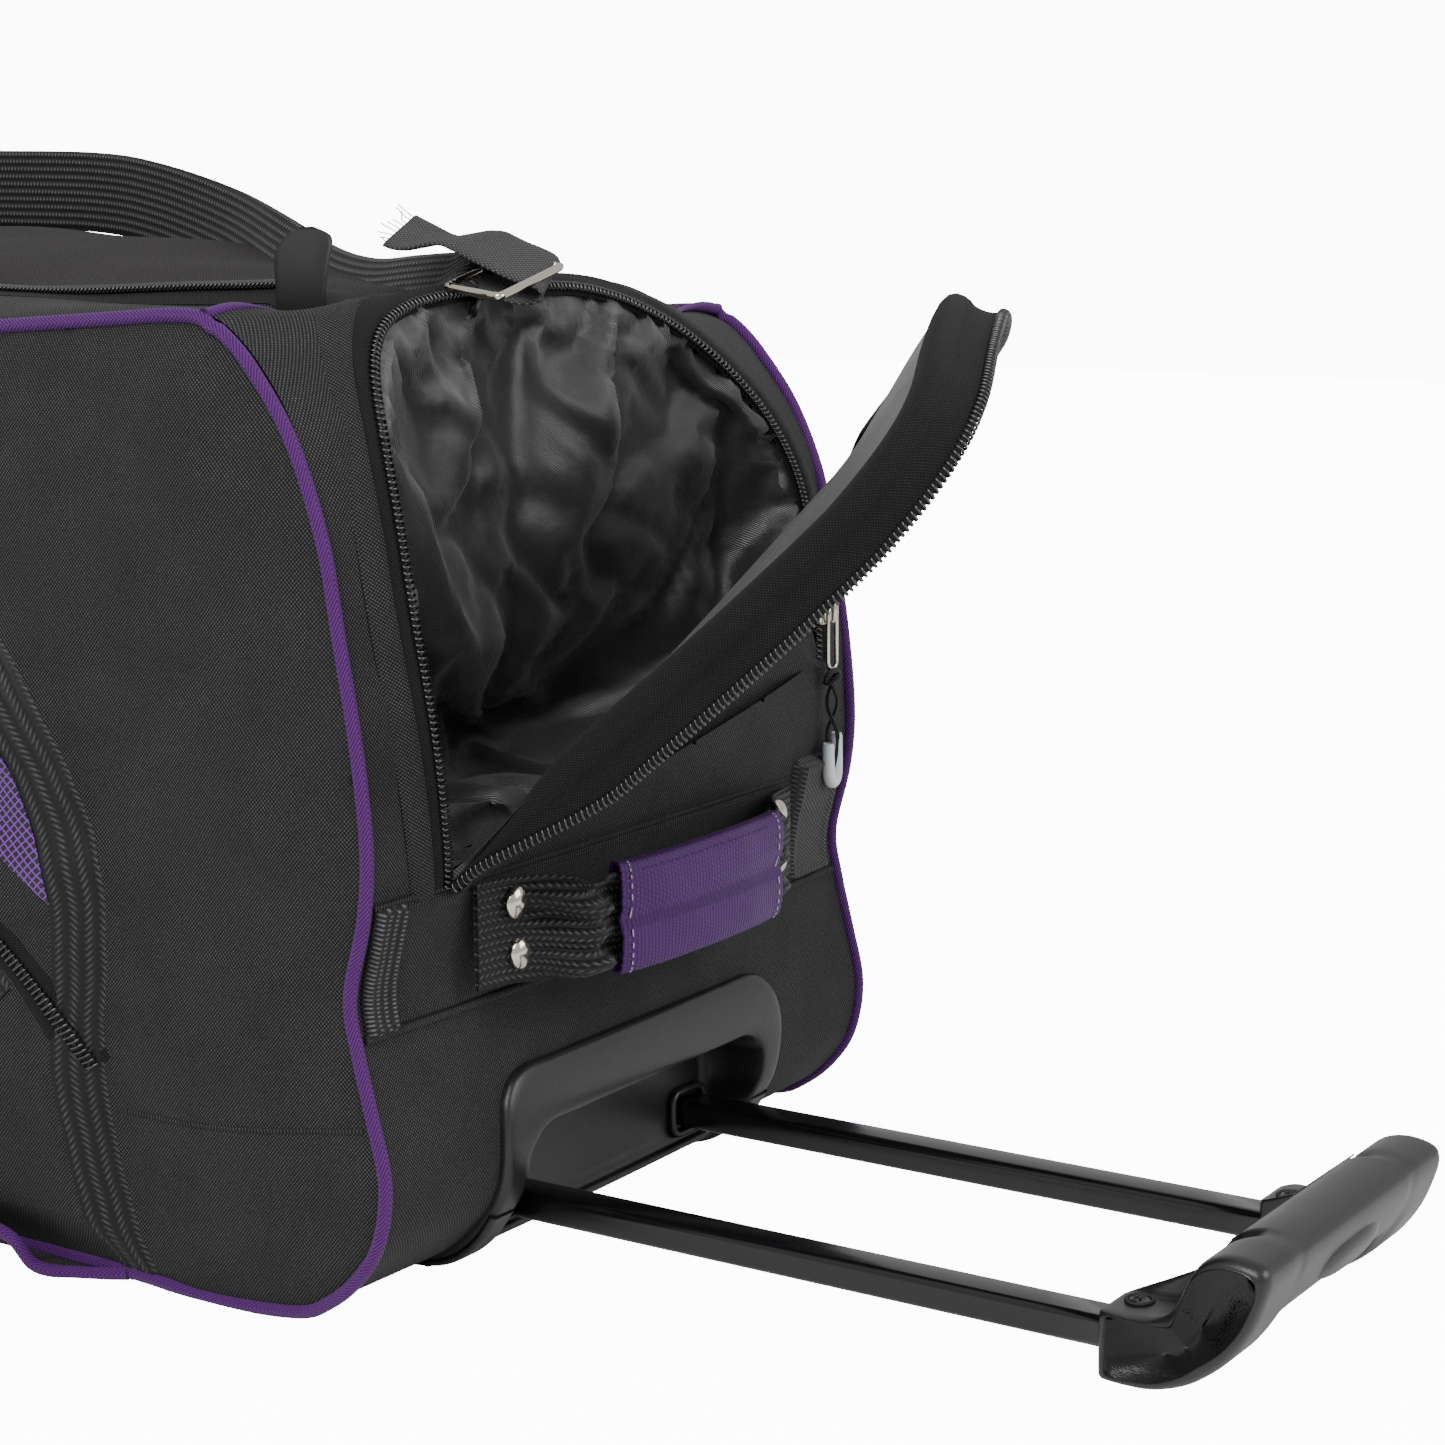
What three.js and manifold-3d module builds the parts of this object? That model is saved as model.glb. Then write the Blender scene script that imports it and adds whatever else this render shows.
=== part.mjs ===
// Rolling duffel bag with a telescoping handle, two wheels, an end pocket and two side pockets.
// Millimetres, +Z up. +X points out of the handle end. The origin is on the floor under the
// centre of the bag's outer box, measured with the handle pulled out as modelled.
// Each piece is built in the "end frame", whose x = 0 is the foremost plane of the handle end,
// and the whole group is then shifted along X.
import * as THREE from "three";
import { mergeVertices } from "three/addons/utils/BufferGeometryUtils.js";
import Module from "manifold-3d";

const wasm = await Module();
wasm.setup();

// ---------- driving dimensions ----------
const LENGTH = 838; // handle end to wheel end
const MID_X = -LENGTH / 2; // middle of the bag
const PANEL_Y = 151; // inner face of the side panels, from the middle plane
const FABRIC = 3; // lined and padded fabric
const GUSSET_Y = 150.5; // half width of the end, top and bottom panels
const PIPING = 4;
const GAP = 0.4; // between pieces that touch

const TOP_SEAM_Z = 341;
const TOP_CROWN = 9; // the top's rise above its side seams
const TOP_HALF_X = 308; // half length of the top panel
const ZIP_Y = -82; // main zip line
const LID_HINGE_Y = 57; // the lid folds back along this line
const LID_HALF_X = 295;
const BOTTOM_Z = 6;

const POCKET_Y = 176; // outer face of the side pockets
const POCKET_HALF_X = 279;
const POCKET_TOP_Z = 318;

const OPEN_HALF_Y = 122; // end pocket opening
const OPEN_LOW_Z = 154;
const OPEN_TOP_Z = 336;
const OPEN_RADIUS = 44;
const FOLD_FAR_Z = 262; // the unzipped flap folds along a line that climbs to this height
const FOLD_X = -16;
const FLAP_OPEN = THREE.MathUtils.degToRad(45);
const BEND_X = -31; // the flap's upper part straightens along this line when it is unzipped
const BEND_Z = 268;
const TIP_OPEN = THREE.MathUtils.degToRad(36);

const TUBE_Y = 60; // handle tubes, from the middle plane
const TUBE_Z = 22.8;
const TUBE_W = 15;
const TUBE_H = 11;
const TUBE_WALL = 1.2;
const GRIP_X = 213; // inner face of the grip, handle part way out
const INNER_TUBE_BACK = -255;
const OUTER_TUBE_BACK = -690;
const GRIP_HALF_Y = 76;
const MOUTH_HALF_Y = 80;
const MOUTH_TOP_Z = 56;
const MOUTH_BACK_X = -37;
const BEZEL_HALF_Y = 94;
const BEZEL_TOP_Z = 78;

const WHEEL_R = 38;
const WHEEL_Y = 129;
const WHEEL_W = 22;
const WHEEL_X = -LENGTH + WHEEL_R + 0.5;
const AXLE_R = 4;

const BUTTON_FRONT_X = 273;
const END_X = (LENGTH - 0.5 - BUTTON_FRONT_X) / 2; // x of the handle end plane in the part's frame

// ---------- materials ----------
const paint = (color, roughness, metalness = 0) =>
  new THREE.MeshStandardMaterial({ color, roughness, metalness });
const FABRIC_BLACK = paint(0x1b1a1b, 0.85);
const LINING_BLACK = paint(0x121213, 0.4);
const WEBBING_BLACK = paint(0x161616, 0.8);
const WEBBING_GREY = paint(0x3c3b3c, 0.85);
const PURPLE = paint(0x5b2a86, 0.75);
const PLASTIC_BLACK = paint(0x232222, 0.5);
const PLASTIC_WHITE = paint(0xdedfe1, 0.45);
const TUBE_BLACK = paint(0x0c0c0d, 0.2, 0.6);
const STEEL = paint(0xb9b4ab, 0.25, 1);
const RUBBER = paint(0x1a1a1a, 0.7);
const BOARD = paint(0x2b2b2d, 0.6);

// ---------- geometry helpers ----------
const v2 = (x, y) => new THREE.Vector2(x, y);
const v3 = (x, y, z) => new THREE.Vector3(x, y, z);

function solid(geometry) {
  const bare = geometry.clone();
  for (const name of Object.keys(bare.attributes)) {
    if (name !== "position") bare.deleteAttribute(name);
  }
  const merged = mergeVertices(bare, 1e-3);
  return new wasm.Manifold(
    new wasm.Mesh({
      numProp: 3,
      vertProperties: new Float32Array(merged.attributes.position.array),
      triVerts: new Uint32Array(merged.index.array),
    }),
  );
}

function geometryOf(manifold) {
  const mesh = manifold.getMesh();
  const geometry = new THREE.BufferGeometry();
  geometry.setAttribute("position", new THREE.BufferAttribute(mesh.vertProperties, 3));
  geometry.setIndex(new THREE.BufferAttribute(mesh.triVerts, 1));
  geometry.computeVertexNormals();
  return geometry;
}

const extrude = (shape, depth) =>
  new THREE.ExtrudeGeometry(shape, { depth, bevelEnabled: false, curveSegments: 6 });

// A shape drawn in (x, z), extruded from y0 to y1.
function prismY(shape, y0, y1) {
  return extrude(shape, y1 - y0).rotateX(Math.PI / 2).translate(0, y1, 0);
}

// A shape drawn in (y, z), extruded from x0 to x1.
function prismX(shape, x0, x1) {
  const turn = new THREE.Matrix4().makeBasis(v3(0, 1, 0), v3(0, 0, 1), v3(1, 0, 0));
  return extrude(shape, x1 - x0).applyMatrix4(turn).translate(x0, 0, 0);
}

function box(x0, x1, y0, y1, z0, z1) {
  return new THREE.BoxGeometry(x1 - x0, y1 - y0, z1 - z0).translate(
    (x0 + x1) / 2,
    (y0 + y1) / 2,
    (z0 + z1) / 2,
  );
}

function cylinderY(x, z, r, y0, y1, sides = 24) {
  return new THREE.CylinderGeometry(r, r, y1 - y0, sides).translate(x, (y0 + y1) / 2, z);
}

function cylinderX(y, z, r, x0, x1, sides = 16) {
  return new THREE.CylinderGeometry(r, r, x1 - x0, sides)
    .rotateZ(Math.PI / 2)
    .translate((x0 + x1) / 2, y, z);
}

function cylinderZ(x, y, r, z0, z1, sides = 16) {
  return new THREE.CylinderGeometry(r, r, z1 - z0, sides)
    .rotateX(Math.PI / 2)
    .translate(x, y, (z0 + z1) / 2);
}

function roundRect(x0, x1, y0, y1, rTop, rBottom = rTop) {
  const s = new THREE.Shape();
  s.moveTo(x0 + rBottom, y0);
  s.lineTo(x1 - rBottom, y0);
  if (rBottom) s.absarc(x1 - rBottom, y0 + rBottom, rBottom, -Math.PI / 2, 0);
  s.lineTo(x1, y1 - rTop);
  if (rTop) s.absarc(x1 - rTop, y1 - rTop, rTop, 0, Math.PI / 2);
  s.lineTo(x0 + rTop, y1);
  if (rTop) s.absarc(x0 + rTop, y1 - rTop, rTop, Math.PI / 2, Math.PI);
  s.lineTo(x0, y0 + rBottom);
  if (rBottom) s.absarc(x0 + rBottom, y0 + rBottom, rBottom, Math.PI, 1.5 * Math.PI);
  return s;
}

// Points of an open line moved sideways: positive is to the left of its direction.
function offsetLine(points, distance) {
  return points.map((p, i) => {
    const before = points[Math.max(i - 1, 0)];
    const after = points[Math.min(i + 1, points.length - 1)];
    const t = after.clone().sub(before).normalize();
    return v2(p.x - t.y * distance, p.y + t.x * distance);
  });
}

// A sheet of even thickness along a line in (x, z).
function stripShape(points, inner, outer) {
  return new THREE.Shape([
    ...offsetLine(points, outer),
    ...offsetLine(points, inner).reverse(),
  ]);
}

// A flat strap swept along a curve. face is the direction that its broad side looks in. Without
// one, the strap stands on its edge.
function ribbon(points, width, thickness, steps, face = null) {
  const curve = new THREE.CatmullRomCurve3(points);
  const rings = [];
  for (let i = 0; i <= steps; i++) {
    const u = i / steps;
    const t = curve.getTangent(u);
    const side = face ? t.clone().cross(face).normalize() : v3(0, 0, 1);
    const normal = side.clone().cross(t).normalize();
    const p = curve.getPoint(u);
    const corner = (a, b) =>
      p
        .clone()
        .addScaledVector(side, (a * width) / 2)
        .addScaledVector(normal, (b * thickness) / 2);
    rings.push([corner(-1, -1), corner(1, -1), corner(1, 1), corner(-1, 1)]);
  }
  const index = [];
  for (let i = 0; i < steps; i++) {
    for (let k = 0; k < 4; k++) {
      const a = 4 * i + k;
      const b = 4 * i + ((k + 1) % 4);
      index.push(a, b, b + 4, a, b + 4, a + 4);
    }
  }
  const last = 4 * steps;
  index.push(0, 2, 1, 0, 3, 2, last, last + 1, last + 2, last, last + 2, last + 3);
  const geometry = new THREE.BufferGeometry();
  const xyz = rings.flat().flatMap((p) => [p.x, p.y, p.z]);
  geometry.setAttribute("position", new THREE.Float32BufferAttribute(xyz, 3));
  geometry.setIndex(index);
  if (solid(geometry).volume() < 0) {
    for (let i = 0; i < index.length; i += 3) {
      [index[i + 1], index[i + 2]] = [index[i + 2], index[i + 1]];
    }
    geometry.setIndex(index);
  }
  return geometry;
}

const group = new THREE.Group();
group.position.x = END_X;

function add(name, geometry, material, parent = group) {
  const mesh = new THREE.Mesh(geometry, material);
  mesh.name = name;
  parent.add(mesh);
  return mesh;
}

// ---------- the bag's side outline ----------
// From the top seam, round the shoulder, down past the waist and round the bottom corner.
const endProfile = new THREE.SplineCurve([
  v2(-111, TOP_SEAM_Z),
  v2(-88, 340),
  v2(-70, 334),
  v2(-54, 320),
  v2(-41, 298),
  v2(-27, 255),
  v2(-19, 205),
  v2(-17, 165),
  v2(-21, 135),
  v2(-22, 112),
  v2(-17, 86),
  v2(-13, 58),
  v2(-18, 33),
  v2(-34, 13),
  v2(-58, BOTTOM_Z),
]).getPoints(32);
const mirrored = (points) => points.map((p) => v2(2 * MID_X - p.x, p.y));
const outline = [...endProfile, ...mirrored(endProfile).reverse()];
const inside = solid(prismY(new THREE.Shape(outline), -GUSSET_Y, GUSSET_Y));

// ---------- side panels and piping ----------
for (const [name, side] of [["front", -1], ["back", 1]]) {
  const low = side < 0 ? -PANEL_Y - FABRIC : PANEL_Y;
  add(`${name}_panel`, prismY(new THREE.Shape(outline), low, low + FABRIC), FABRIC_BLACK);
  const loop = [...outline, outline[0], outline[1]];
  const outer = offsetLine(loop, PIPING + GAP).slice(1, -1);
  const inner = offsetLine(loop, GAP).slice(1, -1);
  const from = side < 0 ? -PANEL_Y - PIPING : PANEL_Y;
  const cord = solid(prismY(new THREE.Shape(outer), from, from + PIPING)).subtract(
    solid(prismY(new THREE.Shape(inner), from - 1, from + PIPING + 1)),
  );
  add(`${name}_piping`, geometryOf(cord), PURPLE);
}

// ---------- end pocket opening and its flap ----------
function openingShape(inset) {
  const w = OPEN_HALF_Y - inset;
  const top = OPEN_TOP_Z - inset;
  const s = new THREE.Shape();
  s.moveTo(-w, OPEN_LOW_Z + inset);
  s.lineTo(w, FOLD_FAR_Z + inset);
  s.lineTo(w, top - OPEN_RADIUS);
  s.absarc(w - OPEN_RADIUS, top - OPEN_RADIUS, OPEN_RADIUS, 0, Math.PI / 2);
  s.lineTo(OPEN_RADIUS - w, top);
  s.absarc(OPEN_RADIUS - w, top - OPEN_RADIUS, OPEN_RADIUS, Math.PI / 2, Math.PI);
  return s;
}
const endStrip = solid(
  prismY(stripShape(endProfile, -FABRIC, 0), -GUSSET_Y, GUSSET_Y),
);
const openingCut = solid(prismX(openingShape(0), -110, 10));
const mouthRoom = solid(box(-62, 10, -MOUTH_HALF_Y - 4.5, MOUTH_HALF_Y + 4.5, 0, 60.5));
add("end_panel", geometryOf(endStrip.subtract(openingCut).subtract(mouthRoom)), FABRIC_BLACK);

// The flap is the piece of the end panel cut free by the zip. Its lower part turns out about the
// fold line, and its upper part, curved to the bag's shoulder, turns out further on it.
const foldNear = v3(FOLD_X, -OPEN_HALF_Y, OPEN_LOW_Z);
const foldAxis = v3(0, 2 * OPEN_HALF_Y, FOLD_FAR_Z - OPEN_LOW_Z).normalize();
const flapShut = endStrip.intersect(solid(prismX(openingShape(1.5), -110, 10)));
const flapPart = (z0, z1, x, y, z) =>
  geometryOf(flapShut.intersect(solid(box(-120, 10, -200, 200, z0, z1)))).translate(-x, -y, -z);
const flap = new THREE.Group();
flap.position.copy(foldNear);
flap.setRotationFromAxisAngle(foldAxis, FLAP_OPEN);
group.add(flap);
add("end_flap", flapPart(100, BEND_Z - 0.4, foldNear.x, foldNear.y, foldNear.z), FABRIC_BLACK, flap);
const tip = new THREE.Group();
tip.position.set(BEND_X - foldNear.x, -foldNear.y, BEND_Z - foldNear.z);
tip.rotation.y = TIP_OPEN;
flap.add(tip);
add("end_flap_tip", flapPart(BEND_Z + 0.4, 400, BEND_X, 0, BEND_Z), FABRIC_BLACK, tip);

// The lining is a pouch sewn behind the opening.
const POUCH_BACK = -104;
const pouchShape = roundRect(-134, 134, 134, 333, 40, 12);
const pouchHollow = roundRect(-131.5, 131.5, 136.5, 330.5, 38, 10);
const behindPanel = solid(
  prismY(
    new THREE.Shape([
      ...offsetLine(endProfile, -FABRIC - GAP),
      v2(-300, BOTTOM_Z),
      v2(-300, TOP_SEAM_Z - FABRIC - GAP),
    ]),
    -GUSSET_Y,
    GUSSET_Y,
  ),
);
const pouch = solid(prismX(pouchShape, POUCH_BACK, 0))
  .subtract(solid(prismX(pouchHollow, POUCH_BACK + 2.5, 10)))
  .intersect(behindPanel);
add("end_pocket_lining", geometryOf(pouch), LINING_BLACK);

// ---------- wheel end, bottom and top panels ----------
const TRAY_TOP_Z = 92;
const wheelStrip = solid(
  prismY(stripShape(mirrored(endProfile), 0, FABRIC), -GUSSET_Y, GUSSET_Y),
);
add(
  "wheel_end_panel",
  geometryOf(
    wheelStrip.subtract(solid(box(-850, -700, -160, 160, -5, TRAY_TOP_Z + GAP))),
  ),
  FABRIC_BLACK,
);
const TRAY_FRONT_X = -740;
add(
  "bottom_panel",
  geometryOf(
    solid(box(TRAY_FRONT_X + GAP, -59, -GUSSET_Y, GUSSET_Y, BOTTOM_Z, BOTTOM_Z + FABRIC)),
  ),
  FABRIC_BLACK,
);
add("base_board", box(-735, -64, -150.4, 150.4, 34.5, 37.5), BOARD);

function crownShape() {
  const across = [];
  for (let i = 0; i <= 12; i++) {
    const y = GUSSET_Y * (i / 6 - 1);
    across.push(v2(y, TOP_SEAM_Z + TOP_CROWN * (1 - (y / GUSSET_Y) ** 2)));
  }
  return new THREE.Shape([
    ...across,
    ...across.map((p) => v2(p.x, p.y - FABRIC)).reverse(),
  ]);
}
const crown = solid(prismX(crownShape(), MID_X - TOP_HALF_X + GAP, MID_X + TOP_HALF_X - GAP));
const lidHole = solid(box(MID_X - LID_HALF_X, MID_X + LID_HALF_X, ZIP_Y, LID_HINGE_Y, 300, 400));
const lidRoom = solid(
  box(
    MID_X - LID_HALF_X + 1,
    MID_X + LID_HALF_X - 1,
    ZIP_Y + 1,
    LID_HINGE_Y - 0.5,
    300,
    400,
  ),
);
add("top_panel", geometryOf(crown.subtract(lidHole)), FABRIC_BLACK);
add("main_lid", geometryOf(crown.intersect(lidRoom)), FABRIC_BLACK);

// ---------- side pockets ----------
const POCKET_BEVEL = 8;
function pocketShape() {
  const s = new THREE.Shape();
  const w = POCKET_HALF_X - POCKET_BEVEL;
  const low = 8 + POCKET_BEVEL;
  const top = POCKET_TOP_Z - POCKET_BEVEL;
  s.moveTo(MID_X - w, low);
  s.lineTo(MID_X + w, low);
  s.bezierCurveTo(MID_X + w, 170, MID_X + 220, top, MID_X + 90, top);
  s.lineTo(MID_X - 90, top);
  s.bezierCurveTo(MID_X - 220, top, MID_X - w, 170, MID_X - w, low);
  return s;
}
for (const [name, side] of [["front", -1], ["back", 1]]) {
  const depth = POCKET_Y - PANEL_Y - FABRIC - GAP;
  const pocket = new THREE.ExtrudeGeometry(pocketShape(), {
    depth: depth - POCKET_BEVEL,
    bevelEnabled: true,
    bevelThickness: POCKET_BEVEL,
    bevelSize: POCKET_BEVEL,
    bevelSegments: 1,
    curveSegments: 8,
  });
  // The bevel bulges both ends; the half that would enter the panel is cut off.
  const faceY = POCKET_Y - POCKET_BEVEL;
  pocket.rotateX(Math.PI / 2).translate(0, side > 0 ? faceY : depth - POCKET_Y, 0);
  const wall = side * (PANEL_Y + FABRIC + GAP);
  const keep = side < 0 ? box(-850, 0, -200, wall, 0, 400) : box(-850, 0, wall, 200, 0, 400);
  add(`${name}_pocket`, geometryOf(solid(pocket).intersect(solid(keep))), FABRIC_BLACK);
}

// ---------- handle housing at the end ----------
const bezelStrip = solid(prismY(stripShape(endProfile, GAP, 4), -BEZEL_HALF_Y, BEZEL_HALF_Y));
const bezelEdge = solid(
  prismX(roundRect(-BEZEL_HALF_Y, BEZEL_HALF_Y, -5, BEZEL_TOP_Z, 18, 0), -120, 10),
);
const mouth = solid(
  prismX(roundRect(-MOUTH_HALF_Y, MOUTH_HALF_Y, -5, MOUTH_TOP_Z, 12, 0), -70, 10),
);
const recessOuter = solid(
  prismX(roundRect(-MOUTH_HALF_Y - 3, MOUTH_HALF_Y + 3, 10, MOUTH_TOP_Z + 3, 14, 0), MOUTH_BACK_X, -15),
);
const recessInner = solid(
  prismX(roundRect(-MOUTH_HALF_Y, MOUTH_HALF_Y, 5, MOUTH_TOP_Z, 12, 0), MOUTH_BACK_X + 3, 5),
);
const apron = solid(box(-62, MOUTH_BACK_X + 3, -MOUTH_HALF_Y - 3, MOUTH_HALF_Y + 3, 10, 13));
let bezel = bezelStrip.intersect(bezelEdge).subtract(mouth);
bezel = bezel.add(recessOuter.subtract(recessInner)).add(apron);
for (const side of [-1, 1]) {
  const y0 = side < 0 ? -BEZEL_HALF_Y : MOUTH_HALF_Y;
  const y1 = y0 + BEZEL_HALF_Y - MOUTH_HALF_Y;
  bezel = bezel.add(solid(box(-98, -44, y0, y1, 0, 4)));
  const hole = roundRect(
    side * TUBE_Y - TUBE_W / 2 - 0.6,
    side * TUBE_Y + TUBE_W / 2 + 0.6,
    TUBE_Z - TUBE_H / 2 - 0.6,
    TUBE_Z + TUBE_H / 2 + 0.6,
    4,
  );
  bezel = bezel.subtract(solid(prismX(hole, MOUTH_BACK_X - 2, MOUTH_BACK_X + 5)));
}
add("handle_bezel", geometryOf(bezel), PLASTIC_BLACK);

// ---------- fixed and sliding tubes ----------
function tube(y, w, h, wall, x0, x1) {
  const outer = roundRect(y - w / 2, y + w / 2, TUBE_Z - h / 2, TUBE_Z + h / 2, 4);
  const r = 4 - wall / 2;
  outer.holes.push(
    new THREE.Path(
      roundRect(
        y - w / 2 + wall,
        y + w / 2 - wall,
        TUBE_Z - h / 2 + wall,
        TUBE_Z + h / 2 - wall,
        r - wall / 2,
      ).getPoints(4),
    ),
  );
  return prismX(outer, x0, x1);
}
const LOCK_X = INNER_TUBE_BACK + 14;
const STOW_TRAVEL = 246;
const OUT_TRAVEL = 150;
for (const [name, side] of [["near", -1], ["far", 1]]) {
  const y = side * TUBE_Y;
  const outside = y + (side * TUBE_W) / 2;
  let outer = solid(
    tube(y, TUBE_W + 3.4, TUBE_H + 3.4, 1.3, OUTER_TUBE_BACK, MOUTH_BACK_X - 1.5),
  );
  for (const stop of [LOCK_X - STOW_TRAVEL, LOCK_X + OUT_TRAVEL]) {
    outer = outer.subtract(
      solid(cylinderY(stop, TUBE_Z, 2.8, outside - 1, outside + 3, 12).translate(0, side - 1, 0)),
    );
  }
  add(`outer_tube_${name}`, geometryOf(outer), TUBE_BLACK);
  const inner = solid(tube(y, TUBE_W, TUBE_H, TUBE_WALL, INNER_TUBE_BACK, GRIP_X + 20));
  const [h0, h1] = [outside - 3, outside + 3];
  const pinHole = solid(cylinderY(LOCK_X, TUBE_Z, 2.8, h0, h1, 16));
  add(`inner_tube_${name}`, geometryOf(inner.subtract(pinHole)), TUBE_BLACK);
  const [p0, p1] = side < 0 ? [outside, outside + 3.6] : [outside - 3.6, outside];
  add(`lock_pin_${name}`, cylinderY(LOCK_X, TUBE_Z, 2.4, p0, p1, 12), STEEL);
}
let foot = solid(box(-714, -672, -78, 78, 12.8, 34));
for (const side of [-1, 1]) {
  const y = side * TUBE_Y;
  foot = foot.subtract(
    solid(
      box(
        OUTER_TUBE_BACK - GAP,
        -660,
        y - (TUBE_W + 3.4) / 2 - GAP,
        y + (TUBE_W + 3.4) / 2 + GAP,
        TUBE_Z - (TUBE_H + 3.4) / 2 - GAP,
        TUBE_Z + (TUBE_H + 3.4) / 2 + GAP,
      ),
    ),
  );
}
add("tube_foot", geometryOf(foot), PLASTIC_BLACK);

// ---------- grip ----------
const barShape = new THREE.Shape(
  new THREE.CatmullRomCurve3(
    [
      v3(238, 48, 0),
      v3(246, 54, 0),
      v3(258, 54, 0),
      v3(267, 47, 0),
      v3(269, 36, 0),
      v3(263, 26, 0),
      v3(250, 21, 0),
      v3(239, 27, 0),
    ],
    true,
  )
    .getPoints(24)
    .slice(0, -1)
    .map((p) => v2(p.x, p.y)),
);
const bracketShape = new THREE.Shape([
  v2(GRIP_X, 11.5),
  v2(GRIP_X + 4, 9.5),
  v2(234, 9.5),
  v2(250, 15),
  v2(263, 26),
  v2(267, 38),
  v2(258, 50),
  v2(246, 52),
  v2(238, 46),
  v2(231, 38),
  v2(224, 35),
  v2(GRIP_X, 35),
]);
const SPLIT_Z = 31;
let grip = solid(prismY(barShape, -GRIP_HALF_Y, GRIP_HALF_Y));
for (const side of [-1, 1]) {
  const [y0, y1] = side < 0 ? [-GRIP_HALF_Y, -47] : [47, GRIP_HALF_Y];
  grip = grip.add(solid(prismY(bracketShape, y0, y1)));
}
// Rounded ends, seen from above.
const planShape = roundRect(200, 280, -GRIP_HALF_Y, GRIP_HALF_Y, 16, 16);
grip = grip.intersect(solid(extrude(planShape, 80)));
const yokeRoom = solid(box(242.5, 254.5, -65, 65, 27.5, 45.5))
  .add(solid(box(242.5, 254.5, -65, -55, 21, 45.5)))
  .add(solid(box(242.5, 254.5, 55, 65, 21, 45.5)));
const buttonRoom = solid(prismX(roundRect(-31.4, 31.4, 32.6, 47.4, 7.2), 250, 280));
grip = grip.subtract(yokeRoom).subtract(buttonRoom);
for (const side of [-1, 1]) {
  const y = side * TUBE_Y;
  const socket = roundRect(
    y - TUBE_W / 2 - GAP,
    y + TUBE_W / 2 + GAP,
    TUBE_Z - TUBE_H / 2 - GAP,
    TUBE_Z + TUBE_H / 2 + GAP,
    4,
  );
  grip = grip
    .subtract(solid(prismX(socket, 200, GRIP_X + 20 + GAP)))
    .subtract(solid(cylinderX(y, 24.8, 2.2, 220, 246, 10)))
    .subtract(solid(cylinderZ(222, side * 60, 3.9, 32, 60, 16)));
}
const above = solid(box(190, 290, -90, 90, SPLIT_Z + 0.2, 90));
const below = solid(box(190, 290, -90, 90, 0, SPLIT_Z - 0.2));
add("grip_upper", geometryOf(grip.intersect(above)), PLASTIC_BLACK);
add("grip_lower", geometryOf(grip.intersect(below)), PLASTIC_BLACK);
for (const [name, side] of [["near", -1], ["far", 1]]) {
  add(`grip_screw_${name}`, cylinderZ(222, side * 60, 3.4, 32.3, 34.2, 12), STEEL);
}
add("grip_button", prismX(roundRect(-30, 30, 34, 46, 6), 255, BUTTON_FRONT_X), PLASTIC_BLACK);
// The yoke behind the button carries a push rod down each tube to the lock pins.
let yoke = solid(box(250.2, 253.4, -63, 63, 29, 44));
for (const side of [-1, 1]) {
  yoke = yoke
    .add(solid(box(250.2, 253.4, side * 60 - 3, side * 60 + 3, 22, 44)))
    .add(solid(cylinderX(side * 60, 24.8, 1.4, LOCK_X - 6, 251, 8)));
}
add("button_yoke", geometryOf(yoke), PLASTIC_WHITE);

// ---------- wheels ----------
const trayStrip = wheelStrip.intersect(solid(box(-850, TRAY_FRONT_X, -160, 160, -5, TRAY_TOP_Z)));
const trayFloor = solid(box(-781, TRAY_FRONT_X, -GUSSET_Y, GUSSET_Y, BOTTOM_Z, BOTTOM_Z + FABRIC));
let tray = trayStrip.add(trayFloor);
const WELL_HALF = WHEEL_W / 2 + 3;
for (const side of [-1, 1]) {
  const y = side * WHEEL_Y;
  const cup = solid(box(-850, -753, y - WELL_HALF - 3, y + WELL_HALF + 3, 2, 83));
  tray = tray.add(cup.intersect(inside));
}
for (const side of [-1, 1]) {
  const y = side * WHEEL_Y;
  const r = WHEEL_R + 3.5;
  const well = solid(cylinderY(WHEEL_X, WHEEL_R, r, y - WELL_HALF, y + WELL_HALF, 32))
    .add(solid(box(-860, WHEEL_X, y - WELL_HALF, y + WELL_HALF, -10, WHEEL_R + r)))
    .add(solid(box(WHEEL_X, WHEEL_X + r, y - WELL_HALF, y + WELL_HALF, -10, WHEEL_R)));
  const axleHole = solid(cylinderY(WHEEL_X, WHEEL_R, AXLE_R + 0.3, y - 25, y + 25, 16));
  tray = tray.subtract(well).subtract(axleHole);
}
add("wheel_tray", geometryOf(tray), PLASTIC_BLACK);

const ring = (profile) =>
  new THREE.LatheGeometry([...profile, profile[0]].map(([r, y]) => v2(r, y)), 32);
for (const [name, side] of [["near", -1], ["far", 1]]) {
  const y = side * WHEEL_Y;
  const hub = ring([
    [AXLE_R + 0.3, -9],
    [12, -9],
    [14, -4],
    [25, -4],
    [26, -9],
    [29.6, -9],
    [29.6, 9],
    [26, 9],
    [25, 4],
    [14, 4],
    [12, 9],
    [AXLE_R + 0.3, 9],
  ]);
  const tyre = ring([
    [30, -10],
    [35, -11],
    [38, -6],
    [38, 6],
    [35, 11],
    [30, 10],
  ]);
  add(`wheel_hub_${name}`, hub.translate(WHEEL_X, y, WHEEL_R), PLASTIC_BLACK);
  add(`wheel_tyre_${name}`, tyre.translate(WHEEL_X, y, WHEEL_R), RUBBER);
  const axle = cylinderY(WHEEL_X, WHEEL_R, AXLE_R, y - 19, y + 19, 16);
  add(`axle_${name}`, axle, STEEL);
}

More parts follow.
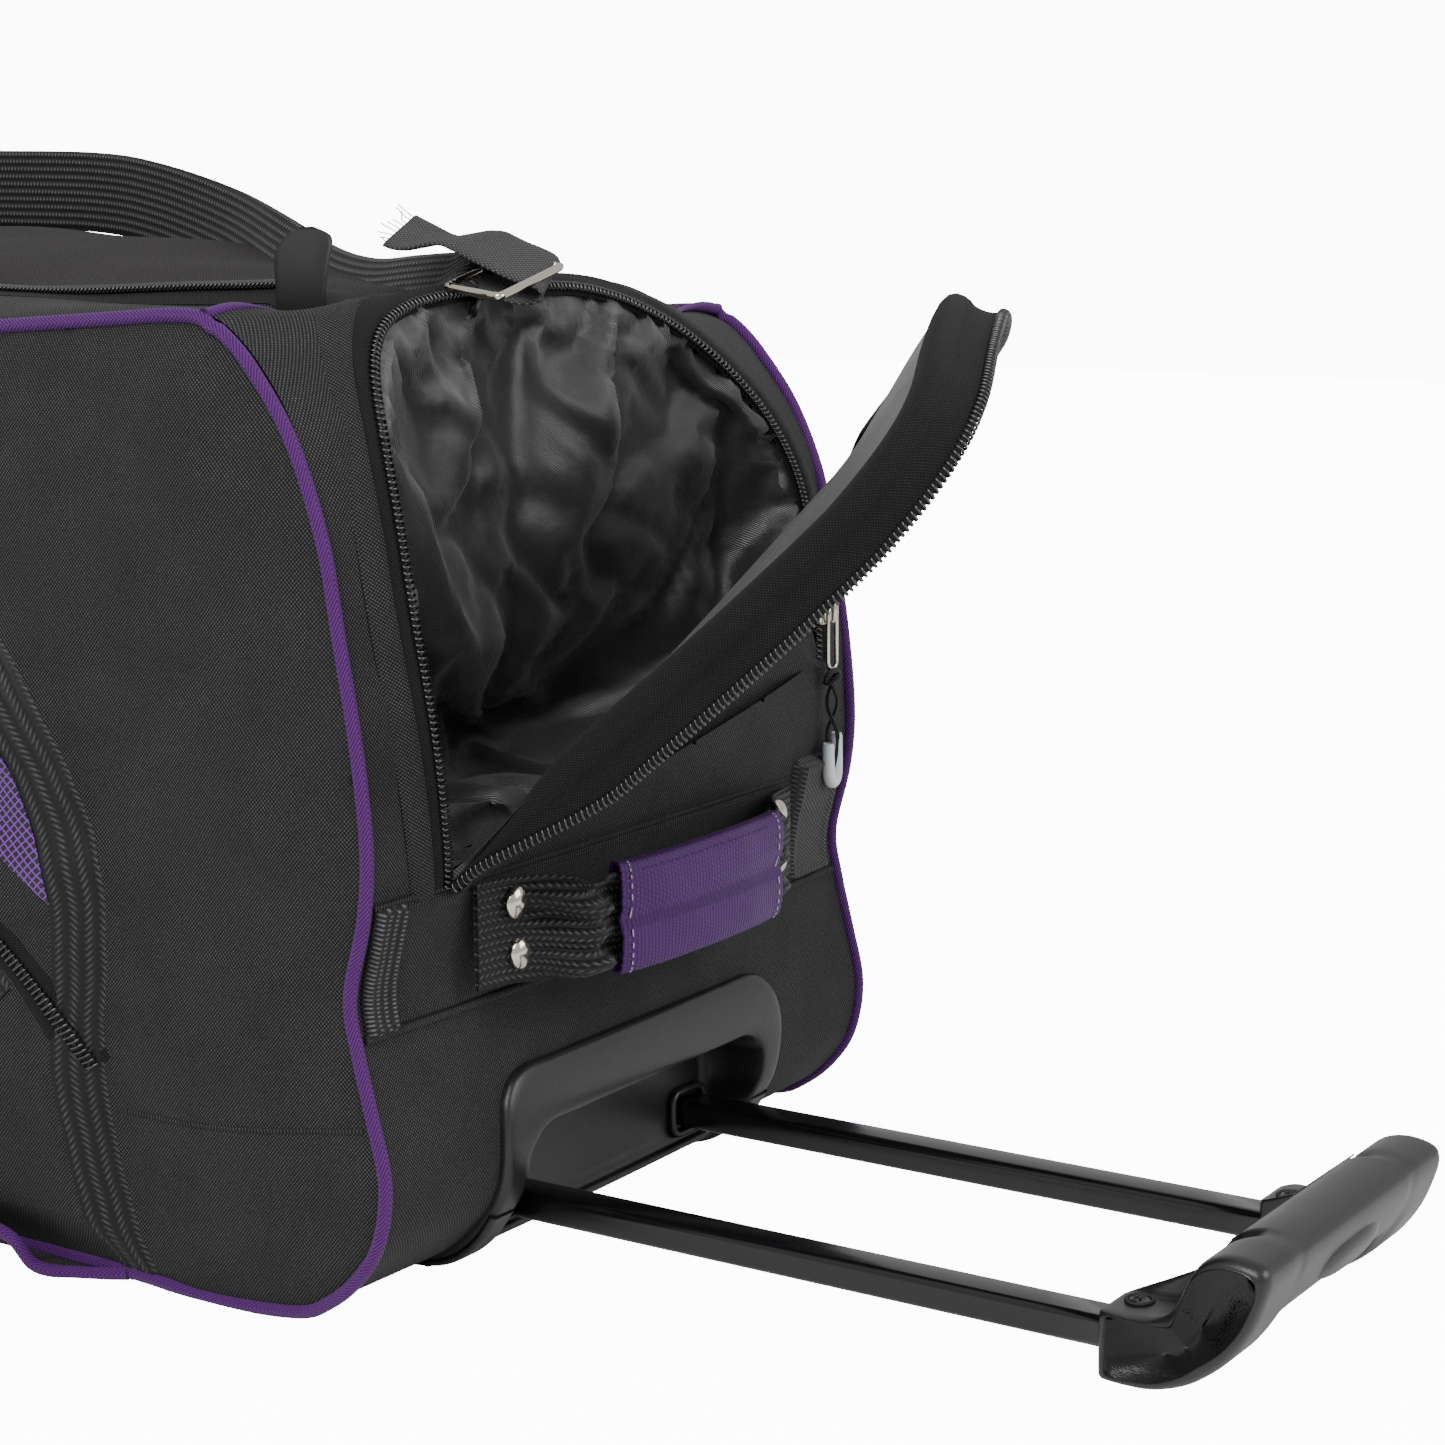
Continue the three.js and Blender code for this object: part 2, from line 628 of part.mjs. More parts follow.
// ---------- haul handle on the end ----------
const HAUL_Z = 132;
const HAUL_HALF_Y = 76;
add("end_band", box(-16.2, -14.2, -147, 147, 113, 151), WEBBING_BLACK);
const haulPath = [
  v3(-11, -HAUL_HALF_Y + 8, HAUL_Z),
  v3(-2, -58, HAUL_Z),
  v3(6, -40, HAUL_Z),
  v3(9, 0, HAUL_Z),
  v3(6, 40, HAUL_Z),
  v3(-2, 58, HAUL_Z),
  v3(-11, HAUL_HALF_Y - 8, HAUL_Z),
];
add("haul_strap", ribbon(haulPath, 36, 2.4, 16, v3(1, 0, 0)), WEBBING_BLACK);
const wrapRoom = solid(box(-30, 40, -48, 48, 100, 170));
const wrapOuter = solid(ribbon(haulPath, 42, 8, 16, v3(1, 0, 0))).intersect(wrapRoom);
const wrapInner = solid(ribbon(haulPath, 37, 3.2, 16, v3(1, 0, 0)));
add("haul_wrap", geometryOf(wrapOuter.subtract(wrapInner)), PURPLE);
for (const [end, side] of [["near", -1], ["far", 1]]) {
  const y0 = side < 0 ? -100 : HAUL_HALF_Y - 6;
  add(`haul_anchor_${end}`, box(-13.8, -11.4, y0, y0 + 24 + 6, 114, 150), WEBBING_BLACK);
  for (const [level, z] of [["upper", 141], ["lower", 123]]) {
    add(`rivet_${end}_${level}`, cylinderX(side * 84, z, 5, -11, -8.6, 14), STEEL);
  }
}

// ---------- zips: sliders and pulls ----------
// End pocket: the slider has stopped part way down the far side, with its pull hanging free.
const END_SLIDER_Y = 128.5;
const endSlider = solid(box(-15.5, -11, END_SLIDER_Y - 4, END_SLIDER_Y + 4, 210, 222))
  .add(solid(box(-11.1, -5.2, END_SLIDER_Y - 1.5, END_SLIDER_Y + 1.5, 210, 212)))
  .add(solid(box(-11.1, -5.2, END_SLIDER_Y - 1.5, END_SLIDER_Y + 1.5, 219, 221)))
  .add(solid(box(-6.4, -5.2, END_SLIDER_Y - 1.5, END_SLIDER_Y + 1.5, 210, 221)));
add("end_zip_slider", geometryOf(endSlider), STEEL);
const pullPlate = roundRect(END_SLIDER_Y - 3.5, END_SLIDER_Y + 3.5, 190, 217, 3.4);
for (const [low, high, r] of [[206.5, 214, 1], [192, 197, 1.6]]) {
  const hole = roundRect(END_SLIDER_Y - 2, END_SLIDER_Y + 2, low, high, r);
  pullPlate.holes.push(new THREE.Path(hole.getPoints(3)));
}
add("end_zip_pull", prismX(pullPlate, -9.4, -8), STEEL);

// The pull's cord: a knot on the plate, two strands that cross, and a moulded end cap.
const CORD_R = 1.1;
const KNOT_Z = 187.5;
const CAP_TOP_Z = 163;
const cordStrand = (side) => [
  v3(-8.5, END_SLIDER_Y + side * 1.6, KNOT_Z - 3.6),
  v3(-8.5 + side * 0.6, END_SLIDER_Y + side * 4.4, 179),
  v3(-8.5 + side * 1.3, END_SLIDER_Y + side * 2.6, 173),
  v3(-8.5 + side * 1.5, END_SLIDER_Y - side * 0.6, 168.5),
  v3(-8.5 + side * 0.8, END_SLIDER_Y - side * 2.6, 166.5),
  v3(-8.5, END_SLIDER_Y - side * 3.2, CAP_TOP_Z + 1.2),
];
const cordSection = new THREE.Shape(
  Array.from({ length: 8 }, (_, i) =>
    v2(CORD_R * Math.cos((i * Math.PI) / 4), CORD_R * Math.sin((i * Math.PI) / 4)),
  ),
);
const knot = new THREE.SphereGeometry(3.2, 12, 8)
  .scale(1, 1.35, 0.9)
  .translate(-8.5, END_SLIDER_Y, KNOT_Z - 0.9);
let pullCord = solid(knot);
for (const side of [-1, 1]) {
  const strand = new THREE.ExtrudeGeometry(cordSection, {
    steps: 14,
    extrudePath: new THREE.CatmullRomCurve3(cordStrand(side)),
  });
  pullCord = pullCord.add(solid(strand));
}
add("pull_cord", geometryOf(pullCord), WEBBING_BLACK);
const capShape = roundRect(END_SLIDER_Y - 6, END_SLIDER_Y + 6, 143, CAP_TOP_Z, 2, 5.8);
add("pull_cap", prismX(capShape, -11.3, -5.7), PLASTIC_WHITE);

// Main zip: closed, so its slider is parked at the wheel end.
function sliderOnTop(name, x, y, z) {
  const body = solid(box(x - 6, x + 6, y - 4.5, y + 4.5, z, z + 3))
    .add(solid(box(x - 5, x - 3.4, y - 1.5, y + 1.5, z + 2.9, z + 8)))
    .add(solid(box(x + 3.4, x + 5, y - 1.5, y + 1.5, z + 2.9, z + 8)))
    .add(solid(box(x - 5, x + 5, y - 1.5, y + 1.5, z + 6.6, z + 8)));
  add(`${name}_slider`, geometryOf(body), STEEL);
  const plate = new THREE.Shape([
    v2(x + 1.8, -3.5),
    v2(x - 30, -3.5),
    v2(x - 34, 0),
    v2(x - 30, 3.5),
    v2(x + 1.8, 3.5),
  ]);
  plate.holes.push(
    new THREE.Path([v2(x + 0.6, -2), v2(x + 0.6, 2), v2(x - 9, 2), v2(x - 9, -2)]),
  );
  add(`${name}_pull`, extrude(plate, 1.4).translate(0, y, z + 4.4), STEEL);
}
const zipTopZ = TOP_SEAM_Z + TOP_CROWN * (1 - (ZIP_Y / GUSSET_Y) ** 2);
sliderOnTop("main_zip", -690, ZIP_Y - 6, zipTopZ + GAP);

// Side pocket zip: the slider sits at the crown of the arch, and its pull is part of it.
const SIDE_ZIP_Z = 246;
const sideSlider = solid(box(MID_X - 6, MID_X + 6, -183, -POCKET_Y - GAP, SIDE_ZIP_Z - 4, SIDE_ZIP_Z + 4))
  .add(solid(box(MID_X - 2.5, MID_X + 2.5, -183, -181, SIDE_ZIP_Z - 30, SIDE_ZIP_Z)));
add("front_pocket_slider", geometryOf(sideSlider), STEEL);

// ---------- carry handles, stored hanging down the sides ----------
const CARRY_HALF_X = 92;
for (const [name, side] of [["front", -1], ["back", 1]]) {
  const path = [
    v3(MID_X - CARRY_HALF_X, side * 159, 340),
    v3(MID_X - CARRY_HALF_X, side * 173, 334),
    v3(MID_X - CARRY_HALF_X + 2, side * 183, 312),
    v3(MID_X - CARRY_HALF_X + 8, side * 187, 240),
    v3(MID_X - CARRY_HALF_X + 34, side * 189, 192),
    v3(MID_X, side * 189, 176),
    v3(MID_X + CARRY_HALF_X - 34, side * 189, 192),
    v3(MID_X + CARRY_HALF_X - 8, side * 187, 240),
    v3(MID_X + CARRY_HALF_X - 2, side * 183, 312),
    v3(MID_X + CARRY_HALF_X, side * 173, 334),
    v3(MID_X + CARRY_HALF_X, side * 159, 340),
  ];
  add(`carry_handle_${name}`, ribbon(path, 30, 2.6, 36, v3(0, 1, 0)), WEBBING_BLACK);
}

// ---------- size tab, rings, ring tabs and shoulder strap ----------
const tabShape = new THREE.Shape();
tabShape.moveTo(-13, 0);
tabShape.lineTo(13, 0);
tabShape.lineTo(11, 26);
tabShape.absarc(0, 26, 11, 0, Math.PI);
add(
  "zip_end_tab",
  extrude(tabShape, 1.6)
    .applyMatrix4(new THREE.Matrix4().makeBasis(v3(1, 0, 0), v3(0, 0, 1), v3(0, -1, 0)))
    .translate(-84, -98, 341.6),
  PLASTIC_BLACK,
);

// Each strap ring is a rectangle lying flat: the shoulder strap's loop holds its inner bar, and
// a folded webbing tab its outer bar. Drawn at the handle end and mirrored for the wheel end.
const RING_Y = -30;
const RING_Z = 352;
const strapTop = [
  v3(-78, RING_Y, 357.5),
  v3(-92, -8, 361),
  v3(-103, 30, 368),
  v3(-118, 66, 370),
  v3(-160, 84, 374),
  v3(-240, 88, 378),
  v3(-330, 84, 376),
  v3(MID_X, 82, 375),
];
for (const [name, mirror] of [["handle_end", 1], ["wheel_end", -1]]) {
  const turn = (geometry) => {
    if (mirror > 0) return geometry;
    return geometry.translate(-MID_X, 0, 0).rotateZ(Math.PI).translate(MID_X, 2 * RING_Y, 0);
  };
  const frame = roundRect(-72, -41, RING_Y - 28, RING_Y + 28, 5);
  frame.holes.push(new THREE.Path(roundRect(-68, -45, RING_Y - 24.5, RING_Y + 24.5, 2).getPoints(3)));
  add(`ring_${name}`, turn(extrude(frame, 3).translate(0, 0, RING_Z)), STEEL);
  const fold = new THREE.Shape([
    v2(-51, RING_Z - 3),
    v2(-38.4, RING_Z - 3),
    v2(-38.4, RING_Z + 6),
    v2(-91, 383),
    v2(-93, 379),
    v2(-46, RING_Z + 3.6),
    v2(-40.6, RING_Z + 3.4),
    v2(-40.6, RING_Z - 0.6),
    v2(-51, RING_Z - 0.6),
  ]);
  add(`ring_tab_${name}`, turn(prismY(fold, RING_Y - 22, RING_Y + 22)), WEBBING_GREY);
}
function strapEnd() {
  const hook = new THREE.Shape([
    v2(-66, RING_Z - 3.6),
    v2(-80, RING_Z - 3.6),
    v2(-80, RING_Z + 7),
    v2(-66, RING_Z + 7),
    v2(-66, RING_Z + 4.8),
    v2(-73.2, RING_Z + 4.8),
    v2(-73.2, RING_Z - 1.4),
    v2(-66, RING_Z - 1.4),
  ]);
  return prismY(hook, RING_Y - 20, RING_Y + 20);
}
const strapOther = strapTop
  .slice(0, -1)
  .map((p) => v3(2 * MID_X - p.x, p.y, p.z))
  .reverse();
const strapBody = solid(ribbon([...strapTop, ...strapOther], 26, 2.6, 60));
const otherEnd = strapEnd().translate(-MID_X, 0, 0).rotateZ(Math.PI).translate(MID_X, 2 * RING_Y, 0);
add("shoulder_strap", geometryOf(strapBody.add(solid(strapEnd())).add(solid(otherEnd))), WEBBING_BLACK);

export default group;
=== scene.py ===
"""Looks for the rolling duffel bag.

Shapes are written in millimetres in the "end frame" that the CAD source uses: x = 0 is the foremost
plane of the handle end, +Z up, -Y the front side. SHIFT moves them into the row frame.
"""

import math

import bpy
import numpy as np
from mathutils import Matrix, Vector


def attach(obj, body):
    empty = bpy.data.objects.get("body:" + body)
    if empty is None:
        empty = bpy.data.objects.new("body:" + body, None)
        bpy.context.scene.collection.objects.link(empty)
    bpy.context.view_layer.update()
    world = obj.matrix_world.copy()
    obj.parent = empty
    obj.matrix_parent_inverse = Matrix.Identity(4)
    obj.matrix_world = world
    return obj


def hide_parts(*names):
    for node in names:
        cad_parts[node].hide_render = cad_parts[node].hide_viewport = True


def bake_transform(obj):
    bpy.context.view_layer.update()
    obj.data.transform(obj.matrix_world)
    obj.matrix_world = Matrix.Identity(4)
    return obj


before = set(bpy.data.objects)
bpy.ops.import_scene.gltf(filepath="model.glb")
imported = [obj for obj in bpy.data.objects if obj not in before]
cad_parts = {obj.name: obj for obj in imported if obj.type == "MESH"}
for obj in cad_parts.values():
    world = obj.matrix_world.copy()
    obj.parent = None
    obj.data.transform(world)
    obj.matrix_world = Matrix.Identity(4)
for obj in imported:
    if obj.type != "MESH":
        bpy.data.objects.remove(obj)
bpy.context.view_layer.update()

SHIFT = 282.25
MID = -419.0
RNG = np.random.default_rng(7)


# ---------------------------------------------------------------- numbers
def row(p):
    """End-frame millimetres to row-frame metres."""
    p = np.array(p, float)
    p[..., 0] += SHIFT
    return p / 1000


def smooth(t):
    t = np.clip(t, 0, 1)
    return t * t * (3 - 2 * t)


def unit(v):
    return v / np.maximum(np.linalg.norm(v, axis=-1, keepdims=True), 1e-12)


def lengths(p):
    return np.concatenate([[0], np.cumsum(np.linalg.norm(np.diff(p, axis=0), axis=1))])


def resample(p, n):
    s = lengths(p)
    t = np.linspace(0, s[-1], n)
    return np.stack([np.interp(t, s, p[:, k]) for k in range(p.shape[1])], 1)


def curve(points, n, closed=False):
    """A Catmull-Rom curve through points, as n points evenly along it."""
    p = np.array(points, float)
    if closed:
        ext = np.vstack([p[-1], p, p[0], p[1]])
    else:
        ext = np.vstack([2 * p[0] - p[1], p, 2 * p[-1] - p[-2]])
    out = []
    for a, b, c, d in zip(ext[:-3], ext[1:-2], ext[2:-1], ext[3:]):
        t = np.linspace(0, 1, 17)[:-1, None]
        m1, m2 = (c - a) / 2, (d - b) / 2
        out.append(
            (2 * t**3 - 3 * t**2 + 1) * b + (t**3 - 2 * t**2 + t) * m1
            + (-2 * t**3 + 3 * t**2) * c + (t**3 - t**2) * m2
        )
    out.append(ext[-2][None])
    return resample(np.vstack(out), n)


def wobble(p, scale, seed=0.0):
    """Smooth noise in -1..1 at points (..., 3), features about scale millimetres wide."""
    q = np.asarray(p, float) / scale + seed
    x, y, z = q[..., 0], q[..., 1], q[..., 2]
    a = np.sin(1.3 * x + 1.7 * np.sin(0.9 * y + 1.1 * z) + 0.7)
    b = np.sin(1.1 * y - 1.5 * np.sin(1.2 * z + 0.8 * x) + 2.1)
    c = np.sin(1.2 * z + 1.4 * np.sin(1.0 * x - 0.7 * y) + 4.2)
    return (a * b + b * c + c * a) / 1.6


def grid(u, v):
    return np.meshgrid(u, v, indexing="ij")


def turn(n):
    """n angles, once round."""
    return np.linspace(0, 2 * math.pi, n, endpoint=False)


def mirror(p):
    """The same points at the bag's other end."""
    p = np.array(p, float)
    p[..., 0] = 2 * MID - p[..., 0]
    return p


def whole(half):
    """A line that ends at the middle, carried on to its mirror image."""
    return np.vstack([half, mirror(half)[::-1][1:]])


# ---------------------------------------------------------------- meshes
def settle(co):
    """The filled top sags: it folds down behind the opening's rim, and more at its far corner."""
    x, y, z = co[..., 0], co[..., 1], co[..., 2]
    fold = 11 * smooth((z - 343) / 12) * smooth((152 - np.abs(y)) / 50) * smooth((-58 - x) / 20)
    corner = 13 * smooth((y - 10) / 120) * smooth((z - 225) / 110)
    out = co.copy()
    out[..., 2] = z - (fold + corner) * smooth((x + 330) / 230) * (1 - smooth((x + 2) / 8))
    return out


def piece(name, co, faces, mat, uv=None, body="root", replaces=(), slot=None, flat=False):
    """A mesh from end-frame millimetres. uv is in metres, one per point or one per corner."""
    me = bpy.data.meshes.new(name)
    co = row(settle(np.asarray(co, float).reshape(-1, 3)))
    faces = [tuple(int(i) for i in f) for f in faces]
    me.from_pydata(co.tolist(), [], faces)
    if uv is not None:
        layer = me.uv_layers.new(name="UVMap")
        uv = np.asarray(uv, float).reshape(-1, 2)
        if len(uv) == len(co):
            loops = np.zeros(len(me.loops), np.int32)
            me.loops.foreach_get("vertex_index", loops)
            uv = uv[loops]
        layer.data.foreach_set("uv", uv.astype(np.float32).ravel())
    me.polygons.foreach_set("use_smooth", [not flat] * len(me.polygons))
    me.update()
    ob = bpy.data.objects.new(name, me)
    bpy.context.scene.collection.objects.link(ob)
    if mat:
        me.materials.append(mat)
    if body:
        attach(ob, body)
    if replaces:
        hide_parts(*replaces)
    return ob


def quads(nu, nv, wrap_u=False, wrap_v=False, flip=False):
    """Faces of a grid of nu by nv points stored row by row (u outer, v inner)."""
    i, j = grid(np.arange(nu if wrap_u else nu - 1), np.arange(nv if wrap_v else nv - 1))
    i, j = i.ravel(), j.ravel()
    i2, j2 = (i + 1) % nu, (j + 1) % nv
    f = np.stack([i * nv + j, i2 * nv + j, i2 * nv + j2, i * nv + j2], 1)
    return f[:, ::-1] if flip else f


def grid_uv(p):
    """UVs in metres from the arc lengths along both ways of a grid of points (nu, nv, 3)."""
    du = np.concatenate([np.zeros((1, p.shape[1])), np.cumsum(np.linalg.norm(np.diff(p, axis=0), axis=2), 0)])
    dv = np.concatenate([np.zeros((p.shape[0], 1)), np.cumsum(np.linalg.norm(np.diff(p, axis=1), axis=2), 1)], 1)
    return np.stack([du, dv], -1) / 1000


def sheet_of(name, p, mat, uv=None, flip=False, **kw):
    nu, nv = p.shape[:2]
    return piece(name, p, quads(nu, nv, flip=flip), mat, grid_uv(p) if uv is None else uv, **kw)


def frames(path, closed=False, up=None):
    """Tangent, side and normal along a path. up fixes the normal's direction; without it frames don't twist."""
    if closed:
        t = unit(np.roll(path, -1, 0) - np.roll(path, 1, 0))
    else:
        t = unit(np.gradient(path, axis=0))
    if up is not None:
        side = unit(np.cross(t, np.broadcast_to(np.asarray(up, float), t.shape)))
        return t, side, np.cross(side, t)
    n = np.zeros_like(t)
    guess = np.array([0, 0, 1.0]) if abs(t[0, 2]) < 0.9 else np.array([1.0, 0, 0])
    n[0] = unit(guess - t[0] * (guess @ t[0]))
    for i in range(1, len(t)):
        v = n[i - 1] - t[i] * (n[i - 1] @ t[i])
        n[i] = unit(v)
    return t, np.cross(t, n), n


def sweep(path, section, closed=False, up=None, scale=None):
    """Points (n, k, 3) of a section of (side, normal) offsets carried along a path."""
    t, side, n = frames(path, closed, up)
    sec = np.asarray(section, float)
    s = np.ones(len(path)) if scale is None else np.asarray(scale, float)
    off = side[:, None] * sec[None, :, :1] + n[:, None] * sec[None, :, 1:]
    return path[:, None] + off * s[:, None, None]


def circle(r, k, r2=None):
    a = turn(k)
    return np.stack([np.cos(a) * r, np.sin(a) * (r2 or r)], 1)


def capped(nu, nv, faces):
    return [tuple(f) for f in faces] + [tuple(range(nv))[::-1], tuple((nu - 1) * nv + k for k in range(nv))]


def tube(name, path, r, mat, k=12, closed=False, up=None, scale=None, section=None, **kw):
    """A round or shaped rod along a path. UV: metres along, then round its skin."""
    sec = circle(r, k) if section is None else np.asarray(section, float)
    p = sweep(path, sec, closed, up, scale)
    nu, nv = p.shape[:2]
    ring = np.linalg.norm(np.diff(np.vstack([sec, sec[:1]]), axis=0), axis=1)
    around = np.concatenate([[0], np.cumsum(ring)]) / 1000
    along = lengths(np.vstack([path, path[:1]]) if closed else path) / 1000
    f = quads(nu, nv, closed, True)
    i = np.repeat(np.arange(nu if closed else nu - 1), nv)
    j = np.tile(np.arange(nv), nu if closed else nu - 1)
    cu = np.stack([along[i], along[i + 1], along[i + 1], along[i]], 1)
    cv = np.stack([around[j], around[j], around[j + 1], around[j + 1]], 1)
    uv = np.stack([cu, cv], -1).reshape(-1, 2)
    if not closed:
        f = capped(nu, nv, f)
        uv = np.vstack([uv, np.zeros((2 * nv, 2))])
    return piece(name, p, f, mat, uv, **kw)


def coil(name, path, normal, mat, pitch=2.2, rw=1.7, rh=1.1, wire=0.55, per=10, body="root", slot="plastic_dark"):
    """A zip's spiral: a wire wound along a path, rw wide across it and rh high along normal (n, 3)."""
    total = lengths(path)[-1]
    n = int(total / pitch * per)
    fine = resample(path, n)
    s, q = lengths(path), np.linspace(0, total, n)
    nn = unit(np.stack([np.interp(q, s, normal[:, k]) for k in range(3)], 1))
    t = unit(np.gradient(fine, axis=0))
    side = unit(np.cross(t, nn))
    a = q / pitch * 2 * math.pi
    line = fine + side * (np.cos(a) * rw)[:, None] + nn * (np.sin(a) * rh)[:, None]
    p = sweep(line, circle(wire, 5))
    return piece(name, p, quads(len(line), 5, False, True), mat, body=body, slot=slot)


def box_piece(name, lo, hi, mat, bevel=0.0, **kw):
    x0, y0, z0 = lo
    x1, y1, z1 = hi
    co = [(x, y, z) for x in (x0, x1) for y in (y0, y1) for z in (z0, z1)]
    f = [(0, 1, 3, 2), (4, 6, 7, 5), (0, 4, 5, 1), (2, 3, 7, 6), (0, 2, 6, 4), (1, 5, 7, 3)]
    ob = piece(name, co, f, mat, **kw)
    if bevel:
        soften(ob, bevel)
    return ob


def soften(ob, width, segments=3, angle=35):
    m = ob.modifiers.new("bevel", "BEVEL")
    m.width, m.segments, m.limit_method, m.angle_limit = width / 1000, segments, "ANGLE", math.radians(angle)
    m.harden_normals = False
    return ob


def thicken(ob, mm, offset=-1):
    m = ob.modifiers.new("thick", "SOLIDIFY")
    m.thickness, m.offset = mm / 1000, offset
    return ob


# ---------------------------------------------------------------- materials
def material(name, base=(0.02, 0.02, 0.02), rough=0.6, **inputs):
    m = bpy.data.materials.new(name)
    m.use_nodes = True
    b = m.node_tree.nodes["Principled BSDF"]
    b.inputs["Base Color"].default_value = (*base, 1)
    b.inputs["Roughness"].default_value = rough
    for k, v in inputs.items():
        b.inputs[k.replace("_", " ")].default_value = v
    return m


class Nodes:
    """Short forms for building a material's node tree."""

    def __init__(self, mat):
        self.tree = mat.node_tree
        self.bsdf = self.tree.nodes["Principled BSDF"]

    def node(self, kind, **props):
        n = self.tree.nodes.new(kind)
        for k, v in props.items():
            setattr(n, k, v)
        return n

    def link(self, a, b):
        self.tree.links.new(a, b)
        return b

    def math(self, op, a, b=0.0, c=None, clamp=False):
        n = self.node("ShaderNodeMath", operation=op, use_clamp=clamp)
        for i, v in enumerate((a, b) if c is None else (a, b, c)):
            if hasattr(v, "is_output"):
                self.link(v, n.inputs[i])
            else:
                n.inputs[i].default_value = v
        return n.outputs[0]

    def uv(self):
        n = self.node("ShaderNodeUVMap")
        s = self.node("ShaderNodeSeparateXYZ")
        self.link(n.outputs[0], s.inputs[0])
        return s.outputs[0], s.outputs[1], n.outputs[0]

    def place(self):
        return self.node("ShaderNodeTexCoord").outputs["Object"]

    def noise(self, scale, detail=2.0, vector=None, rough=0.5):
        n = self.node("ShaderNodeTexNoise")
        n.inputs["Scale"].default_value = scale
        n.inputs["Detail"].default_value = detail
        n.inputs["Roughness"].default_value = rough
        self.link(vector or self.place(), n.inputs["Vector"])
        return n.outputs["Fac"]

    def mix(self, fac, a, b):
        n = self.node("ShaderNodeMix", data_type="RGBA")
        for sock, v in ((n.inputs[0], fac), (n.inputs[6], a), (n.inputs[7], b)):
            if hasattr(v, "is_output"):
                self.link(v, sock)
            else:
                sock.default_value = v if isinstance(v, float) else (*v, 1)
        return n.outputs[2]

    def bump(self, height, distance, strength=1.0):
        n = self.node("ShaderNodeBump")
        n.inputs["Distance"].default_value = distance
        n.inputs["Strength"].default_value = strength
        self.link(height, n.inputs["Height"])
        self.link(n.outputs[0], self.bsdf.inputs["Normal"])

    def wave(self, coord, pitch, phase=0.0):
        """A sine in 0..1 of a coordinate in metres."""
        s = self.math("SINE", self.math("MULTIPLY_ADD", coord, 2 * math.pi / pitch, phase))
        return self.math("MULTIPLY_ADD", s, 0.5, 0.5)


def weave(name, dark, light, pitch=0.0011, rough=0.8, share=0.5, bump=0.00022, sheen=0.03, fuzz=0.0):
    """A plain weave of thick yarns: small floats in a diagonal lattice, each lit by a painted highlight, on a dark
    ground.
    """
    m = material(name, dark, rough, Sheen_Weight=sheen, Sheen_Roughness=0.45)
    m.node_tree.nodes["Principled BSDF"].inputs["Specular IOR Level"].default_value = 0.22
    g = Nodes(m)
    u, v, _ = g.uv()
    su = g.math("SINE", g.math("MULTIPLY", u, 2 * math.pi / pitch))
    sv = g.math("SINE", g.math("MULTIPLY", v, 2 * math.pi / (pitch * 1.15)))
    dots = g.math("MULTIPLY_ADD", g.math("MULTIPLY", su, sv), 0.5, 0.5)
    # painted highlight on the thread tops: patch varies it in broad patches, speck breaks it up thread by thread
    patch = g.noise(38, 3)
    speck = g.noise(1400, 1)
    level = g.math("MULTIPLY", g.math("POWER", dots, 3.0), g.math("MULTIPLY_ADD", speck, 1.3, 0.1))
    level = g.math("MULTIPLY", level, g.math("MULTIPLY_ADD", patch, 0.8, 0.55), clamp=True)
    g.link(g.mix(g.math("MULTIPLY", level, share, clamp=True), dark, light), g.bsdf.inputs["Base Color"])
    height = dots
    if fuzz:
        height = g.math("ADD", dots, g.math("MULTIPLY", g.noise(900, 2), fuzz))
    g.bump(height, bump, 0.8)
    return m


def ribbed(name, dark, light, ribs=10, width=0.038, pitch=0.0016, rough=0.6, share=0.8, bump=0.0006, herring=False):
    """Webbing: raised ribs along its length, each with a row of yarn crests lit by painted highlights. UV: metres
    along, metres across.
    """
    m = material(name, dark, rough, Sheen_Weight=0.04)
    m.node_tree.nodes["Principled BSDF"].inputs["Specular IOR Level"].default_value = 0.3
    g = Nodes(m)
    u, v, _ = g.uv()
    step = width / ribs
    rib = g.wave(v, step)
    if herring:
        fold = g.math("PINGPONG", v, step)
        dash = g.wave(g.math("ADD", u, g.math("MULTIPLY", fold, 1.0)), pitch)
    else:
        lift = g.math("MULTIPLY", g.math("FLOOR", g.math("DIVIDE", v, step)), pitch / 2)
        dash = g.wave(g.math("ADD", u, lift), pitch)
    mark = g.math("MULTIPLY", g.math("POWER", rib, 1.6), g.math("POWER", dash, 2.0), clamp=True)
    speck = g.math("MULTIPLY_ADD", g.noise(900, 1), 1.2, 0.2)
    g.link(g.mix(g.math("MULTIPLY", g.math("MULTIPLY", mark, speck), share, clamp=True), dark, light),
        g.bsdf.inputs["Base Color"])
    g.bump(g.math("ADD", rib, g.math("MULTIPLY", mark, 0.4)), bump, 0.9)
    return m


def braided(name, dark, light, around=0.0145, pitch=0.0042):
    """Piping: a herringbone braid round a cord. UV: metres along, metres round."""
    m = material(name, dark, 0.55, Sheen_Weight=0.05)
    m.node_tree.nodes["Principled BSDF"].inputs["Specular IOR Level"].default_value = 0.25
    g = Nodes(m)
    u, v, _ = g.uv()
    fold = g.math("PINGPONG", v, around / 4)
    strand = g.wave(g.math("ADD", u, g.math("MULTIPLY", fold, 1.4)), pitch / 2.4)
    fine = g.wave(g.math("SUBTRACT", u, g.math("MULTIPLY", fold, 1.4)), pitch / 5)
    # the strands' lighter tone is painted highlight, laid on the braid's real herringbone pattern
    mark = g.math("MULTIPLY", strand, g.math("MULTIPLY_ADD", fine, 0.35, 0.65))
    g.link(g.mix(mark, dark, light), g.bsdf.inputs["Base Color"])
    g.bump(mark, 0.0005, 0.8)
    return m


